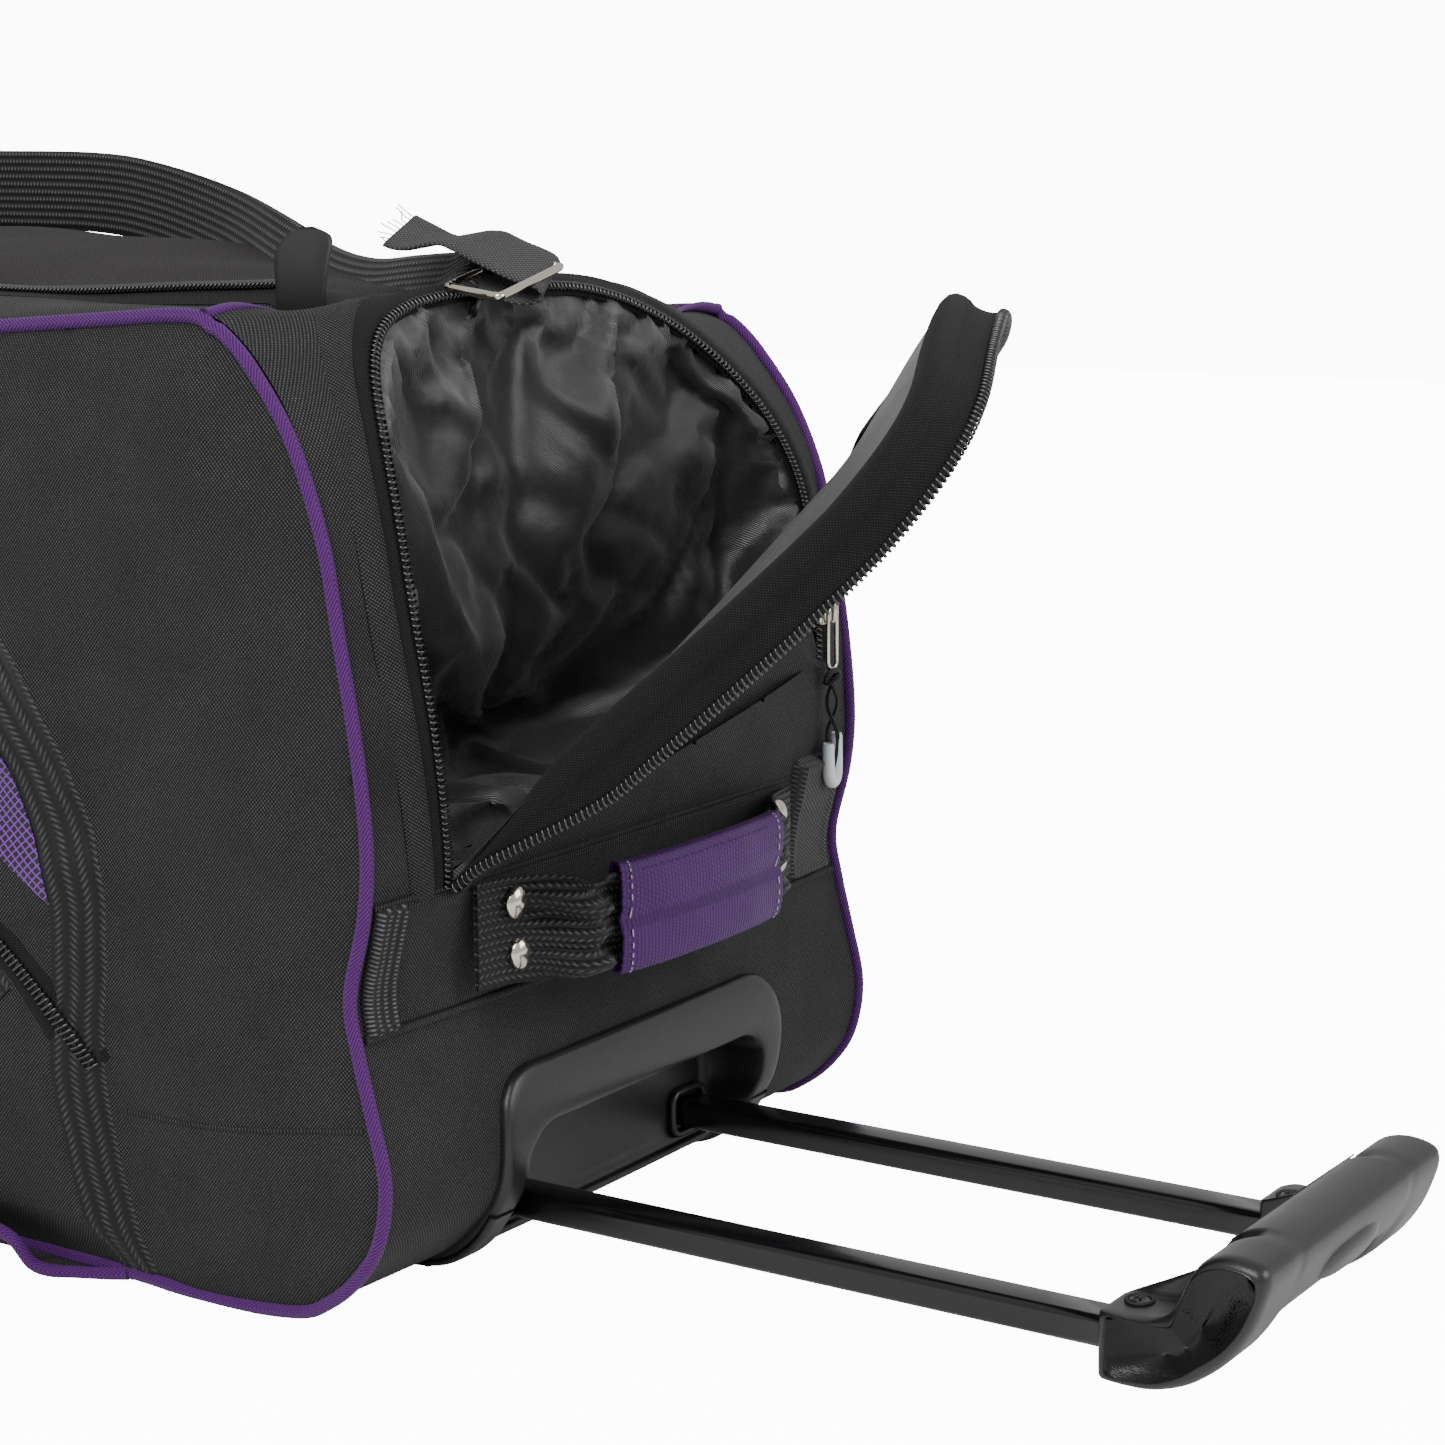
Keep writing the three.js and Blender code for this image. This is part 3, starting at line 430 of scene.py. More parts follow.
BLACK = weave("bag_weave", (0.0022, 0.0021, 0.0023), (0.19, 0.185, 0.19), pitch=0.00135, share=0.62)
BROWN = weave("top_weave", (0.0075, 0.0060, 0.0062), (0.085, 0.070, 0.072), pitch=0.0013, share=0.65)
PURPLE = braided("piping_braid", (0.022, 0.002, 0.046), (0.155, 0.012, 0.25))
WEB = ribbed("webbing", (0.0028, 0.0028, 0.003), (0.20, 0.195, 0.20))
STRAP = ribbed("strap_webbing", (0.0028, 0.0028, 0.003), (0.17, 0.165, 0.17), ribs=11, width=0.036, pitch=0.0021)
BINDING = ribbed("binding", (0.003, 0.003, 0.0032), (0.085, 0.085, 0.085), ribs=4, width=0.019, pitch=0.0024,
    herring=True)
GREY_WEB = weave("grey_webbing", (0.028, 0.028, 0.029), (0.16, 0.16, 0.165), pitch=0.0019, share=0.9, bump=0.0005)
TAPE = weave("zip_tape", (0.004, 0.004, 0.0042), (0.06, 0.06, 0.062), pitch=0.0012, rough=0.9, fuzz=0.9, bump=0.0004)
COIL = material("zip_coil", (0.006, 0.006, 0.0063), 0.22)
COIL.node_tree.nodes["Principled BSDF"].inputs["Specular IOR Level"].default_value = 0.9
STEEL = material("bright_metal", (0.60, 0.545, 0.47), 0.15, Metallic=1.0)
DARK_STEEL = material("dark_metal", (0.10, 0.10, 0.105), 0.28, Metallic=1.0)
RUBBER = material("tyre_rubber", (0.009, 0.009, 0.009), 0.7)
WHITE = material("white_cap", (0.62, 0.64, 0.68), 0.3, Subsurface_Weight=0.15)
CORD = ribbed("pull_cord", (0.006, 0.006, 0.006), (0.05, 0.05, 0.05), ribs=8, width=0.012, pitch=0.0012)
BOARD = material("board", (0.008, 0.008, 0.008), 0.6)


def grained(name, base, rough, scale=1500, bump=0.00012):
    m = material(name, base, rough)
    g = Nodes(m)
    n = g.noise(scale, 3)
    wear = g.noise(26, 4)
    g.link(g.math("MULTIPLY_ADD", wear, 0.22, rough - 0.1), g.bsdf.inputs["Roughness"])
    g.bump(n, bump, 0.6)
    return m


PLASTIC = grained("satin_plastic", (0.0095, 0.0093, 0.0095), 0.33)
TUBE = grained("tube_lacquer", (0.004, 0.004, 0.0042), 0.16, 600, 0.00002)
TAG = grained("tag_fabric", (0.005, 0.005, 0.0052), 0.55, 2500)


def satin():
    m = material("lining_satin", (0.010, 0.010, 0.0105), 0.36, Sheen_Weight=0.2)
    m.node_tree.nodes["Principled BSDF"].inputs["Specular IOR Level"].default_value = 0.75
    g = Nodes(m)
    u, v, _ = g.uv()
    fine = g.wave(g.math("ADD", u, v), 0.0009)
    g.link(g.mix(g.math("MULTIPLY", fine, 0.5), (0.009, 0.009, 0.0095), (0.03, 0.03, 0.031)),
        g.bsdf.inputs["Base Color"])
    g.link(g.math("MULTIPLY_ADD", g.noise(60, 3), 0.25, 0.26), g.bsdf.inputs["Roughness"])
    g.bump(g.math("ADD", fine, g.math("MULTIPLY", g.noise(130, 4), 3.0)), 0.0003, 0.5)
    return m


SATIN = satin()


def mesh_cloth():
    """Open purple netting: its diamond holes coloured near black, over black."""
    m = material("purple_net", (0.16, 0.04, 0.40), 0.45)
    g = Nodes(m)
    u, v, _ = g.uv()
    p = 0.0034
    a = g.math("PINGPONG", g.math("ADD", u, v), p / 2)
    b = g.math("PINGPONG", g.math("SUBTRACT", u, v), p / 2)
    hole = g.math("GREATER_THAN", g.math("MINIMUM", a, b), 0.00042)
    g.link(g.mix(hole, (0.15, 0.025, 0.30), (0.004, 0.003, 0.005)), g.bsdf.inputs["Base Color"])
    g.bump(g.math("SUBTRACT", 1.0, hole), 0.0008, 1.0)
    return m


NET = mesh_cloth()

# ---------------------------------------------------------------- the bag's outer skin
NEAR = np.array([  # the end's outline at the piping, from the top corner down and under
    (-81, 345), (-76, 342), (-71, 340), (-59, 329), (-43, 306), (-31, 274), (-25, 241), (-19, 205), (-16, 172),
    (-18, 148), (-25, 120), (-22, 100), (-17, 80), (-12, 57), (-15.5, 36), (-25, 21.5), (-38, 10.5), (-53, 4)], float)
MIDDLE = np.array([  # and at the middle, where the filled end stands out
    (-78, 357), (-70, 356), (-62, 353), (-47, 342), (-30, 316), (-18, 281), (-11, 243), (-8, 205), (-11, 172),
    (-16, 148), (-21, 119), (-20, 100), (-16, 80), (-12, 57), (-15, 35), (-27, 19), (-38, 9), (-51, 3)], float)
EDGE_Y = 152.0
profiles = [curve(NEAR, 90), curve(MIDDLE, 90)]


def swell(y):
    return 1 - np.abs(np.clip(np.asarray(y, float) / EDGE_Y, -1, 1)) ** 2.6


def seam_z(y):
    """The top seam's height at y."""
    return np.interp(swell(y), [0, 1], [345, 357])


def end_xz(y, s):
    """(x, z) of the end's skin at y and at s, 0 at the top seam and 1 under the bag."""
    b = swell(y)[..., None]
    i = np.clip(np.asarray(s, float) * 89, 0, 89)
    k = np.minimum(i.astype(int), 88)
    f = (i - k)[..., None]
    a = profiles[0][k] * (1 - f) + profiles[0][k + 1] * f
    m = profiles[1][k] * (1 - f) + profiles[1][k + 1] * f
    return a * (1 - b) + m * b


def end_s(y, z):
    """The s of the end's skin at y and height z."""
    y, z = np.broadcast_arrays(np.asarray(y, float), np.asarray(z, float))
    lo, hi = np.zeros(y.shape), np.ones(y.shape)
    for _ in range(22):
        mid = (lo + hi) / 2
        above = end_xz(y, mid)[..., 1] > z
        lo, hi = np.where(above, mid, lo), np.where(above, hi, mid)
    return (lo + hi) / 2


def end_point(y, z, out=0.0):
    """A point on the end's skin, out millimetres proud of it, and its outward normal."""
    y, z = np.broadcast_arrays(np.asarray(y, float), np.asarray(z, float))
    s = end_s(y, z)
    e = 0.006

    def at(yy, ss):
        q = end_xz(yy, ss)
        return np.stack([q[..., 0], yy, q[..., 1]], -1)

    p = at(y, s)
    n = unit(np.cross(at(y, s - e) - at(y, s + e), at(y - 1.5, s) - at(y + 1.5, s)))
    n = n * np.sign(n[..., :1] + 1e-9)
    return p + n * np.asarray(out)[..., None] if np.ndim(out) else p + n * out, n


# opening's outline (y, z), from its lower near corner up, over the top and down to the slider and below
OUTLINE = np.array([
    (-114, 151), (-119, 176), (-122, 205), (-124, 240), (-124, 272), (-121, 300), (-114, 322), (-101, 337),
    (-82, 345),
    (-56, 348.5), (-20, 349.5), (18, 348.5), (52, 344), (82, 335), (105, 320), (121, 299), (129, 272), (130, 244),
    (127, 218), (124, 196)], float)
outline = curve(OUTLINE, 240)
fold_line = np.array([[-114, 151.0], [124, 196.0]])
ring = np.vstack([outline, fold_line[::-1][1:]])  # closed: along the outline, back along the fold


def signed(points, loop):
    """Distance to a closed loop, negative inside, and the nearest point on it."""
    a, b = loop, np.roll(loop, -1, 0)
    d = b - a
    best = np.full(len(points), 1e9)
    near = np.zeros_like(points)
    inside = np.zeros(len(points), bool)
    for p0, p1, dd in zip(a, b, d):
        t = np.clip(((points - p0) @ dd) / max(dd @ dd, 1e-9), 0, 1)
        q = p0 + t[:, None] * dd
        r = np.linalg.norm(points - q, axis=1)
        closer = r < best
        best = np.where(closer, r, best)
        near[closer] = q[closer]
        cross = (p0[1] > points[:, 1]) != (p1[1] > points[:, 1])
        with np.errstate(divide="ignore", invalid="ignore"):
            xi = p0[0] + (points[:, 1] - p0[1]) / (p1[1] - p0[1]) * (p1[0] - p0[0])
        inside ^= cross & (points[:, 0] < xi)
    return np.where(inside, -best, best), near


def cut_grid(uu, vv, loops, cell, keep_inside=False):
    """A grid over (u, v) with the faces inside each loop taken out and its edge snapped to the loop."""
    pts = np.stack(grid(uu, vv), -1).reshape(-1, 2)
    faces = quads(len(uu), len(vv))
    keep = np.ones(len(faces), bool)
    for loop in loops:
        d, near = signed(pts, loop)
        snap = np.abs(d) < cell * 0.55
        pts = np.where(snap[:, None], near, pts)
        d2, _ = signed(pts[faces].mean(1), loop)
        keep &= (d2 < 0) if keep_inside else (d2 > 0)
    return pts, faces[keep]


# end shell: a grid over (y, z-like height), fine enough to follow the opening and the housing's mouth
MOUTH = np.array([(-84, -5), (-84, 44), (-78, 56), (-66, 61), (66, 61), (78, 56), (84, 44), (84, -5)], float)
heights = np.concatenate([np.linspace(3, 60, 20), np.linspace(63, 330, 90)[:-1], np.linspace(330, 356.9, 14)])
ys = np.linspace(-152, 152, 103)
pts, faces = cut_grid(ys, heights, [ring, MOUTH], 3.0)
top_at = seam_z(pts[:, 0])
stretch = np.where(pts[:, 1] > 300, 300 + (pts[:, 1] - 300) * (top_at - 300) / 57.0, pts[:, 1])
on_loop = np.abs(signed(pts, ring)[0]) < 0.01
zz = np.where(on_loop, np.minimum(pts[:, 1], top_at - 0.2), stretch)
skin, skin_n = end_point(pts[:, 0], zz)
soft = np.clip((zz - 118) / 60, 0, 1) * np.clip(signed(pts, ring)[0] / 14, 0, 1)
skin = skin + skin_n * (wobble(skin, 34) * 1.5 * soft)[:, None]
piece("end_skin", skin, faces, BLACK, np.stack([pts[:, 0], zz], 1) / 1000, replaces=["end_panel"])


# ---------------------------------------------------------------- zip, tape and piping along the opening
def along_outline(offset, out, a=0, b=None, pts=outline):
    """Points on the end's skin beside the outline, offset outside it."""
    p = pts[a:b]
    t = unit(np.gradient(p, axis=0))
    side = np.stack([t[:, 1] * -1, t[:, 0]], 1)  # left of travel: away from the opening
    q = p + side * offset
    ceiling = seam_z(q[:, 0]) - 0.3
    q[:, 1] = np.minimum(q[:, 1], ceiling)
    return end_point(q[:, 0], q[:, 1], out)


def strip_around(name, offsets, outs, mat, a=0, b=None, body="root", slot=None, **kw):
    cols = [along_outline(o, h, a, b)[0] for o, h in zip(offsets, outs)]
    p = np.stack(cols, 1)
    return sheet_of(name, p, mat, body=body, slot=slot, flip=True, **kw)


strip_around("opening_tape", [-2.5, 0, 3, 6, 8], [-1.0, 0.7, 0.9, 0.9, 0.2], TAPE)
strip_around("opening_hem", [5.5, 6.3, 9, 12, 15, 16.5], [0.4, 1.7, 1.9, 1.3, 0.9, -0.4], BLACK)
line, nrm = along_outline(-1.2, 1.5)
coil("opening_coil", line, nrm, COIL, body="root")


# ---------------------------------------------------------------- the open flap
# Unzipped, the flap curls out of the opening like a cone with its point at the opening's lower near
# corner. Laid flat, a point is a distance and a bearing from that corner.
APEX = np.array([-14.0, -115, 151])
BEARINGS = np.radians([-5, 1.5, 13, 23, 33, 44, 57, 82, 100])
CURL = [0, -1.2, 1.8, 2.8, 0.9, -1.4, 1.6, 0.2, 0.2]  # turn per radian of bearing
LIFT = np.array([23.0, 17, 12])


def curled():
    ph = np.radians(np.linspace(-20, 110, 900))
    step = ph[1] - ph[0]
    d, e, n = (np.array(v, float) for v in ((0, math.cos(ph[0]), math.sin(ph[0])),
        (0, -math.sin(ph[0]), math.cos(ph[0])), (1, 0, 0)))
    out = []
    for f in ph:
        out.append(np.concatenate([d, e, n]))
        k = np.interp(f, BEARINGS, CURL) if f > BEARINGS[0] else 0.0
        d, e = unit(d + e * step), e + (k * n - d) * step
        e = unit(e - d * (e @ d))
        n = np.cross(d, e)
    return ph, np.array(out)


BEARING, FRAMES = curled()


def laid_flat(y, z):
    """Distances across and up from the apex on the flattened end panel."""
    ceiling = seam_z(y) - 0.3
    total = [lengths(q)[-1] for q in profiles]
    per = total[0] * (1 - swell(y)) + total[1] * swell(y)
    return np.stack([y - APEX[1], (end_s(y, APEX[2]) - end_s(y, np.minimum(z, ceiling))) * per], -1)


def curl_out(flat, out=0.0):
    """Where a flattened point of the flap is when it hangs open, and its outward normal."""
    rho = np.linalg.norm(flat, axis=-1)
    phi = np.arctan2(flat[..., 1], flat[..., 0])
    f = np.stack([np.interp(phi, BEARING, FRAMES[:, k]) for k in range(9)], -1)
    grow = 1 + 0.07 * smooth((phi - math.radians(12)) / math.radians(20))
    k = smooth((phi - math.radians(22)) / math.radians(45)) * np.minimum(rho / 150, 1)
    n = f[..., 6:]
    p = APEX + (rho * grow)[..., None] * f[..., :3] + k[..., None] * LIFT
    return p + n * np.asarray(out)[..., None] if np.ndim(out) else p + n * out, n


NW, NR = 170, 64
edge = laid_flat(*curve(OUTLINE, NW).T)
share = np.linspace(0, 1, NW)
size = np.maximum(smooth(share / 0.10) * smooth((1 - share) / 0.08), 0.12)
t2 = unit(np.gradient(edge, axis=0))
away = np.stack([-t2[:, 1], t2[:, 0]], 1)
edge_in = edge - away * (14 * size)[:, None]
foot_line = laid_flat(*(fold_line[0] + share[:, None] * (fold_line[1] - fold_line[0])).T) - [0, 5]
r = np.linspace(0, 1, NR)
fan = foot_line[:, None] * (1 - r)[None, :, None] + edge_in[:, None] * r[None, :, None]
q3 = np.concatenate([fan, np.zeros(fan.shape[:2] + (1,))], -1)
rise = np.clip(r * 8, 0, 1)[None, :] * 1.0
full = 4.5 * smooth((1 - r) * 3)[None, :] * smooth(r * 3)[None, :]
outs = -0.8 + rise + full + wobble(q3, 36, 3.0) * 1.3 * smooth((1 - r) * 5)[None, :] * smooth(r * 4)[None, :]
outs = outs + 3.5 * smooth((fan[..., 0] - 90) / 110) * smooth(1.3 - r * 3)[None, :]
flap_rest, flap_n = curl_out(fan, outs)
flap_ob = sheet_of("flap_skin", flap_rest, BLACK, uv=fan / 1000, flip=True, body=None)
flap_inner = sheet_of("flap_lining", curl_out(fan, outs - 3.0)[0][:, 4:], SATIN, uv=fan[:, 4:] / 1000, body=None)

# the margin turns outwards at the flap's edge, with the zip on it
E, n_out = flap_rest[:, -1], flap_n[:, -1]
tangent = unit(np.gradient(E, axis=0))
g_dir = unit(np.cross(n_out, tangent))
g_dir = g_dir * np.sign(np.sum(g_dir * (E - E.mean(0)), 1).mean())


def margin(name, section, mat, flip=False):
    p = np.stack([E + (g_dir * g + n_out * n) * size[:, None] for g, n in section], 1)
    return sheet_of(name, p, mat, flip=flip, body=None)


BIND_OUT = [(-9, -3.1), (-6, -4.4), (-2.5, -5.0), (1.0, -4.4), (3.0, -2.4), (3.8, 0.5), (3.6, 3.2)]
TAPE_OUT = [(3.6, 3.2), (3.0, 5.0), (3.2, 7.5), (3.9, 10.0), (5.0, 12.2), (6.4, 14.2)]
BELOW = [(6.4, 14.2), (4.6, 13.6), (2.4, 11.0), (1.6, 7.0), (1.0, 3.0), (-1.0, 0.6), (-5, 0.4)]
flap_parts = [
    flap_ob, flap_inner, margin("flap_binding", BIND_OUT, TAPE, True), margin("flap_tape", TAPE_OUT, TAPE, True),
    margin("flap_margin_under", BELOW, BLACK, True),
    tube("flap_coil_core", E + (g_dir * 6.8 + n_out * 15.2) * size[:, None], 1.3, TAPE, k=8, body=None),
    coil("flap_coil", E + (g_dir * 6.8 + n_out * 15.4) * size[:, None], unit(g_dir - n_out * 0.25), COIL,
    body=None, rw=1.8, rh=1.3),
]
hinge_pt = row([12.2, 2.2, 263.0])
for ob in flap_parts:
    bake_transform(ob)
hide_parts("end_flap", "end_flap_tip")

# ---------------------------------------------------------------- side skins
lower_run = [(-64, 2), (-92, 0.8), (-122, 2.5), (-160, 3.5), (-240, 3.5), (-330, 3.5), (MID, 3.5)]
upper_run = [(MID, 329), (-330, 331), (-240, 335), (-172, 340), (-124, 343.5), (-95, 345.5)]
half_loop = np.array([(-81, 345), *NEAR[1:, :], *lower_run[1:]], float)
half_loop = np.vstack([np.array(upper_run, float), half_loop])
side_loop = curve(np.vstack([half_loop, mirror(half_loop)[::-1][1:-1]]), 620, closed=True)

ARCH = [(-117, 5), (-126, 31), (-131, 69), (-130, 92), (-127, 126), (-127, 147), (-135, 175), (-148, 202),
    (-170, 234), (-205, 266), (-250, 294),
        (-300, 311), (-345, 318), (MID, 320)]
arch = curve(ARCH, 160)
arch_loop = whole(arch)


def side_out(x, z):
    """How far a side stands out from the middle plane at (x, z)."""
    p = np.stack(np.broadcast_arrays(x, z), -1).reshape(-1, 2).astype(float)
    d = -signed(p, side_loop)[0]
    a = -signed(p, arch_loop)[0]
    base = 153.5 + 11 * (1 - np.exp(-np.maximum(d, 0) / 24.0))
    low = smooth((105 - p[:, 1]) / 60)
    base -= 4 * low * smooth(d / 30)
    pocket = 9.5 * smooth((a + 4) / 26) + 3.5 * smooth((a - 20) / 60)
    edge_pull = smooth(d / 22)
    h = base + pocket * edge_pull
    q = np.stack([p[:, 0], np.zeros(len(p)), p[:, 1]], 1)
    crease = wobble(q, 46, 1.5) * 2.2 + wobble(q * [1, 1, 2.2], 23, 7.5) * 0.8
    h = h + crease * smooth(d / 30) * (1 - 0.5 * low)
    # one long soft crease that climbs from the lower corner of the pocket
    line_z = 175 + (p[:, 0] + 150) * -0.35
    h = h - 2.4 * np.exp(-(((p[:, 1] - line_z) / 16.0) ** 2)) * smooth((-35 - p[:, 0]) / 40) * smooth(d / 20)
    return h.reshape(np.broadcast(x, z).shape)


def side_point(x, z, out=0.0, side=-1):
    x, z = np.broadcast_arrays(np.asarray(x, float), np.asarray(z, float))
    y = side_out(x, z)
    e = 2.0
    gx = (side_out(x + e, z) - side_out(x - e, z)) / (2 * e)
    gz = (side_out(x, z + e) - side_out(x, z - e)) / (2 * e)
    n = unit(np.stack([-gx, np.full(x.shape, 1.0), -gz], -1))
    p = np.stack([x, y, z], -1) + n * out
    p[..., 1] *= side
    n[..., 1] *= side
    return p, n


def ribbon_on_side(name, line, width, mat, out=0.7, side=-1, k=7, edge=0.0, slot="webbing_black"):
    """A flat band that lies on a side's skin along a line of (x, z)."""
    t = unit(np.gradient(line, axis=0))
    across = np.stack([t[:, 1], -t[:, 0]], 1)
    w = np.linspace(-0.5, 0.5, k) * width
    q = line[:, None] + across[:, None] * w[None, :, None]
    lift = np.full(k, out)
    lift[0] = lift[-1] = edge
    p, n = side_point(q[..., 0], q[..., 1], 0.0, side)
    p = p + n * lift[None, :, None]
    along = lengths(line)[:, None] / 1000 + np.zeros(k)
    uv = np.stack([along, np.broadcast_to(w / 1000 + 1.0, along.shape)], -1)
    return sheet_of(name, p, mat, uv=uv, flip=side > 0, slot=slot)


def build_side(side, name):
    gx = np.concatenate([np.arange(-832, -300, 8.0), np.arange(-300, -8, 4.0)])
    gz = np.arange(0, 349, 4.0)
    p2, f = cut_grid(gx, gz, [side_loop], 4.5, keep_inside=True)
    wheel = (p2[f].mean(1)[:, 0] < -742) & (p2[f].mean(1)[:, 1] < 93)
    f = f[~wheel]
    used = np.unique(f)
    back = np.zeros(len(p2), int)
    back[used] = np.arange(len(used))
    p2, f = p2[used], back[f]
    p, _ = side_point(p2[:, 0], p2[:, 1], 0.0, side)
    fa = f if side < 0 else f[:, ::-1]
    piece(f"{name}_skin", p, fa, BLACK, p2 / 1000, replaces=[f"{name}_panel", f"{name}_pocket"])
    # piping round the panel
    loop = side_loop
    keep = ~((loop[:, 0] < -742) & (loop[:, 1] < 90))
    first = int(np.argmax(keep & ~np.roll(keep, 1)))
    loop = np.roll(loop, -first, 0)
    keep = np.roll(keep, -first)
    loop = loop[keep]
    path = np.stack([loop[:, 0], np.full(len(loop), side * 154.0), loop[:, 1]], 1)
    tube(f"{name}_piping_cord", path, 2.45, PURPLE, k=14, replaces=[f"{name}_piping"])
    ribbon_on_side(f"{name}_arch_binding", offset_line(arch_loop, -9), 18, BINDING, 0.9, side)
    # the pocket zip's tape, and a hem along its upper run
    net_tip = curve(ZIP_LINE, 60)
    zip_full = whole(net_tip)
    up = zip_full[(zip_full[:, 1] > 112)]
    ribbon_on_side(f"{name}_zip_tape", zip_full, 15, TAPE, 0.6, side)
    ribbon_on_side(f"{name}_zip_hem", offset_line(up, -13), 9, BINDING, 0.8, side)
    # the low seam, and the piping under the pocket
    handle_seam = curve([(-124, 66), (-90, 67), (-50, 71), (-20, 75)], 50)
    wheel_seam = mirror(curve([(-124, 66), (-90, 67), (-82, 68)], 50))
    for end, seam in (("handle", handle_seam), ("wheel", wheel_seam)):
        sp, _ = side_point(seam[:, 0], seam[:, 1], -0.2, side)
        tube(f"{name}_low_seam_{end}", sp, 0.9, BLACK, k=8)
    half = np.array([(-132, 155, 2.5), (-150, 162, 1.5), (-163, 170, 4), (-172, 174, 15), (-196, 177, 19),
        (-300, 179, 20), (MID, 179, 20)], float)
    under = curve(whole(half), 260) * [1, side, 1]
    tube(f"{name}_pocket_piping", under, 2.4, PURPLE, k=12)
    seat = np.stack([under[:, 0], np.full(len(under), side * 153.5), np.full(len(under), 2.2)], 1)
    v = np.linspace(0, 1, 8)[None, :, None]
    low_face = (under[:, None] * (1 - v) + seat[:, None] * v - np.array([0, 0, 2.6]) * np.sin(math.pi * v)
        * smooth((under[:, 2:] - 2) / 8)[:, None])
    sheet_of(f"{name}_pocket_floor", low_face, BLACK)
    cp, cn = side_point(zip_full[:, 0], zip_full[:, 1], 1.4, side)
    coil(f"{name}_zip_coil", cp, cn, COIL, rw=2.6, rh=1.1)


ZIP_LINE = [(-135, 82), (-147, 103), (-169, 126), (-206, 160), (-256, 195), (-315, 222), (-368, 236), (MID, 240)]


def offset_line(line, d):
    t = unit(np.gradient(line, axis=0))
    return line + np.stack([-t[:, 1], t[:, 0]], 1) * -d


def net_window(side, name, flip_x):
    """The triangular netting between the arch and the zip."""
    top = curve([(-144, 141), (-148, 158), (-160, 186), (-184, 226), (-230, 264), (-288, 290), (-345, 299)], 60)
    low = curve([(-144, 141), (-155, 150), (-168, 160), (-215, 190), (-265, 220), (-318, 243), (-345, 252)], 60)
    v = np.linspace(0, 1, 24)
    q = low[:, None] * (1 - v)[None, :, None] + top[:, None] * v[None, :, None]
    if flip_x:
        q = mirror(q)
    p, _ = side_point(q[..., 0], q[..., 1], 0.35, side)
    sheet_of(name, p, NET, uv=q / 1000, flip=(side < 0) != flip_x)


for s, side_name in ((-1, "front"), (1, "back")):
    build_side(s, side_name)
for s, side_name in ((-1, "front"), (1, "back")):
    net_window(s, f"{side_name}_net_handle_end", False)
    net_window(s, f"{side_name}_net_wheel_end", True)

# ---------------------------------------------------------------- top
TOP_Y = [-154, -150, -144, -135, -122, -108, -96, -90, -82, -77, -66, -40, 0, 40, 80, 115, 140, 154]
TOP_Z = [345, 347.5, 349.5, 351, 351.5, 351.5, 352, 352.5, 353.5, 354.5, 357, 361, 363.5, 362, 358, 353, 348, 345]
top_curve = curve(np.stack([TOP_Y, TOP_Z], 1), 200)


def top_z(x, y):
    x, y = np.broadcast_arrays(np.asarray(x, float), np.asarray(y, float))
    full = np.interp(y, top_curve[:, 0], top_curve[:, 1])
    seam = 345 + 12 * swell(y)
    near_end = np.minimum(-78 - x, x - (2 * MID + 78))
    k = smooth(near_end / 55)
    z = seam * (1 - k) + full * k
    edge_sag = np.interp(x, side_top[:, 0], side_top[:, 1]) - 345
    sag = edge_sag * (0.05 + 0.95 * (np.abs(y) / 154) ** 2)
    q = np.stack([x, y, np.zeros(x.shape)], -1)
    folds = wobble(q * [1, 1.6, 1], 38, 5.0) * 1.6
    quiet = smooth((np.abs(y + 86) - 7) / 12) * smooth((154 - np.abs(y)) / 14) * smooth(near_end / 20)
    zip_rise = 9 * np.exp(-(((y + 84) / 20) ** 2)) * smooth((x + 250) / 130) * smooth((-86 - x) / 16)
    crown = 4 * smooth((-150 - x) / 100) * smooth((x + 690) / 100) * np.exp(-((y / 80) ** 2))
    return z + sag + folds * quiet + zip_rise + crown


half_top = np.array([(MID, 329), (-330, 331), (-240, 335), (-172, 340), (-124, 343.5), (-95, 345.3),
    (-60, 345)], float)
side_top = curve(np.vstack([mirror(half_top)[::-1][:-1], half_top]), 200)


def top_piece(name, x0, x1, y0, y1, mat, step=5.0, **kw):
    xs = np.linspace(x0, x1, int((x1 - x0) / step) + 2)
    yy = np.linspace(y0, y1, int((y1 - y0) / step) + 2)
    X, Y = grid(xs, yy)
    p = np.stack([X, Y, top_z(X, Y)], -1)
    return sheet_of(name, p, mat, uv=np.stack([X, Y], -1) / 1000, **kw)


W_END = 2 * MID + 78
top_piece("top_near_strip", W_END, -78, -154, -88, BLACK, 4.0, replaces=["top_panel"])
top_piece("top_far_strip", W_END, -78, 56, 154, BROWN, 6.0)
top_piece("top_end_strip", -125, -78, -88, 56, BROWN, 4.0)
top_piece("top_wheel_strip", W_END, -713, -88, 56, BROWN, 6.0)
top_piece("lid_skin", -713, -125, -84, 56, BROWN, 5.0, body="main_lid", replaces=["main_lid"])
xs = np.linspace(-735, -96, 500)
zy = -88.0
zp = np.stack([xs, np.full(500, zy), top_z(xs, np.full(500, zy)) + 1.6], 1)
coil("main_zip_coil", zp, np.tile([0, 0, 1.0], (500, 1)), COIL, pitch=2.0, rw=3.1, rh=1.3, wire=0.6)
for nm, a, b, lift in (("main_zip_tape_near", -99, -88, 0.5), ("main_zip_tape_far", -88, -79, 0.8)):
    X, Y = grid(np.linspace(-735, -92, 160), np.linspace(a, b, 6))
    sheet_of(nm, np.stack([X, Y, top_z(X, Y) + lift], -1), TAPE)

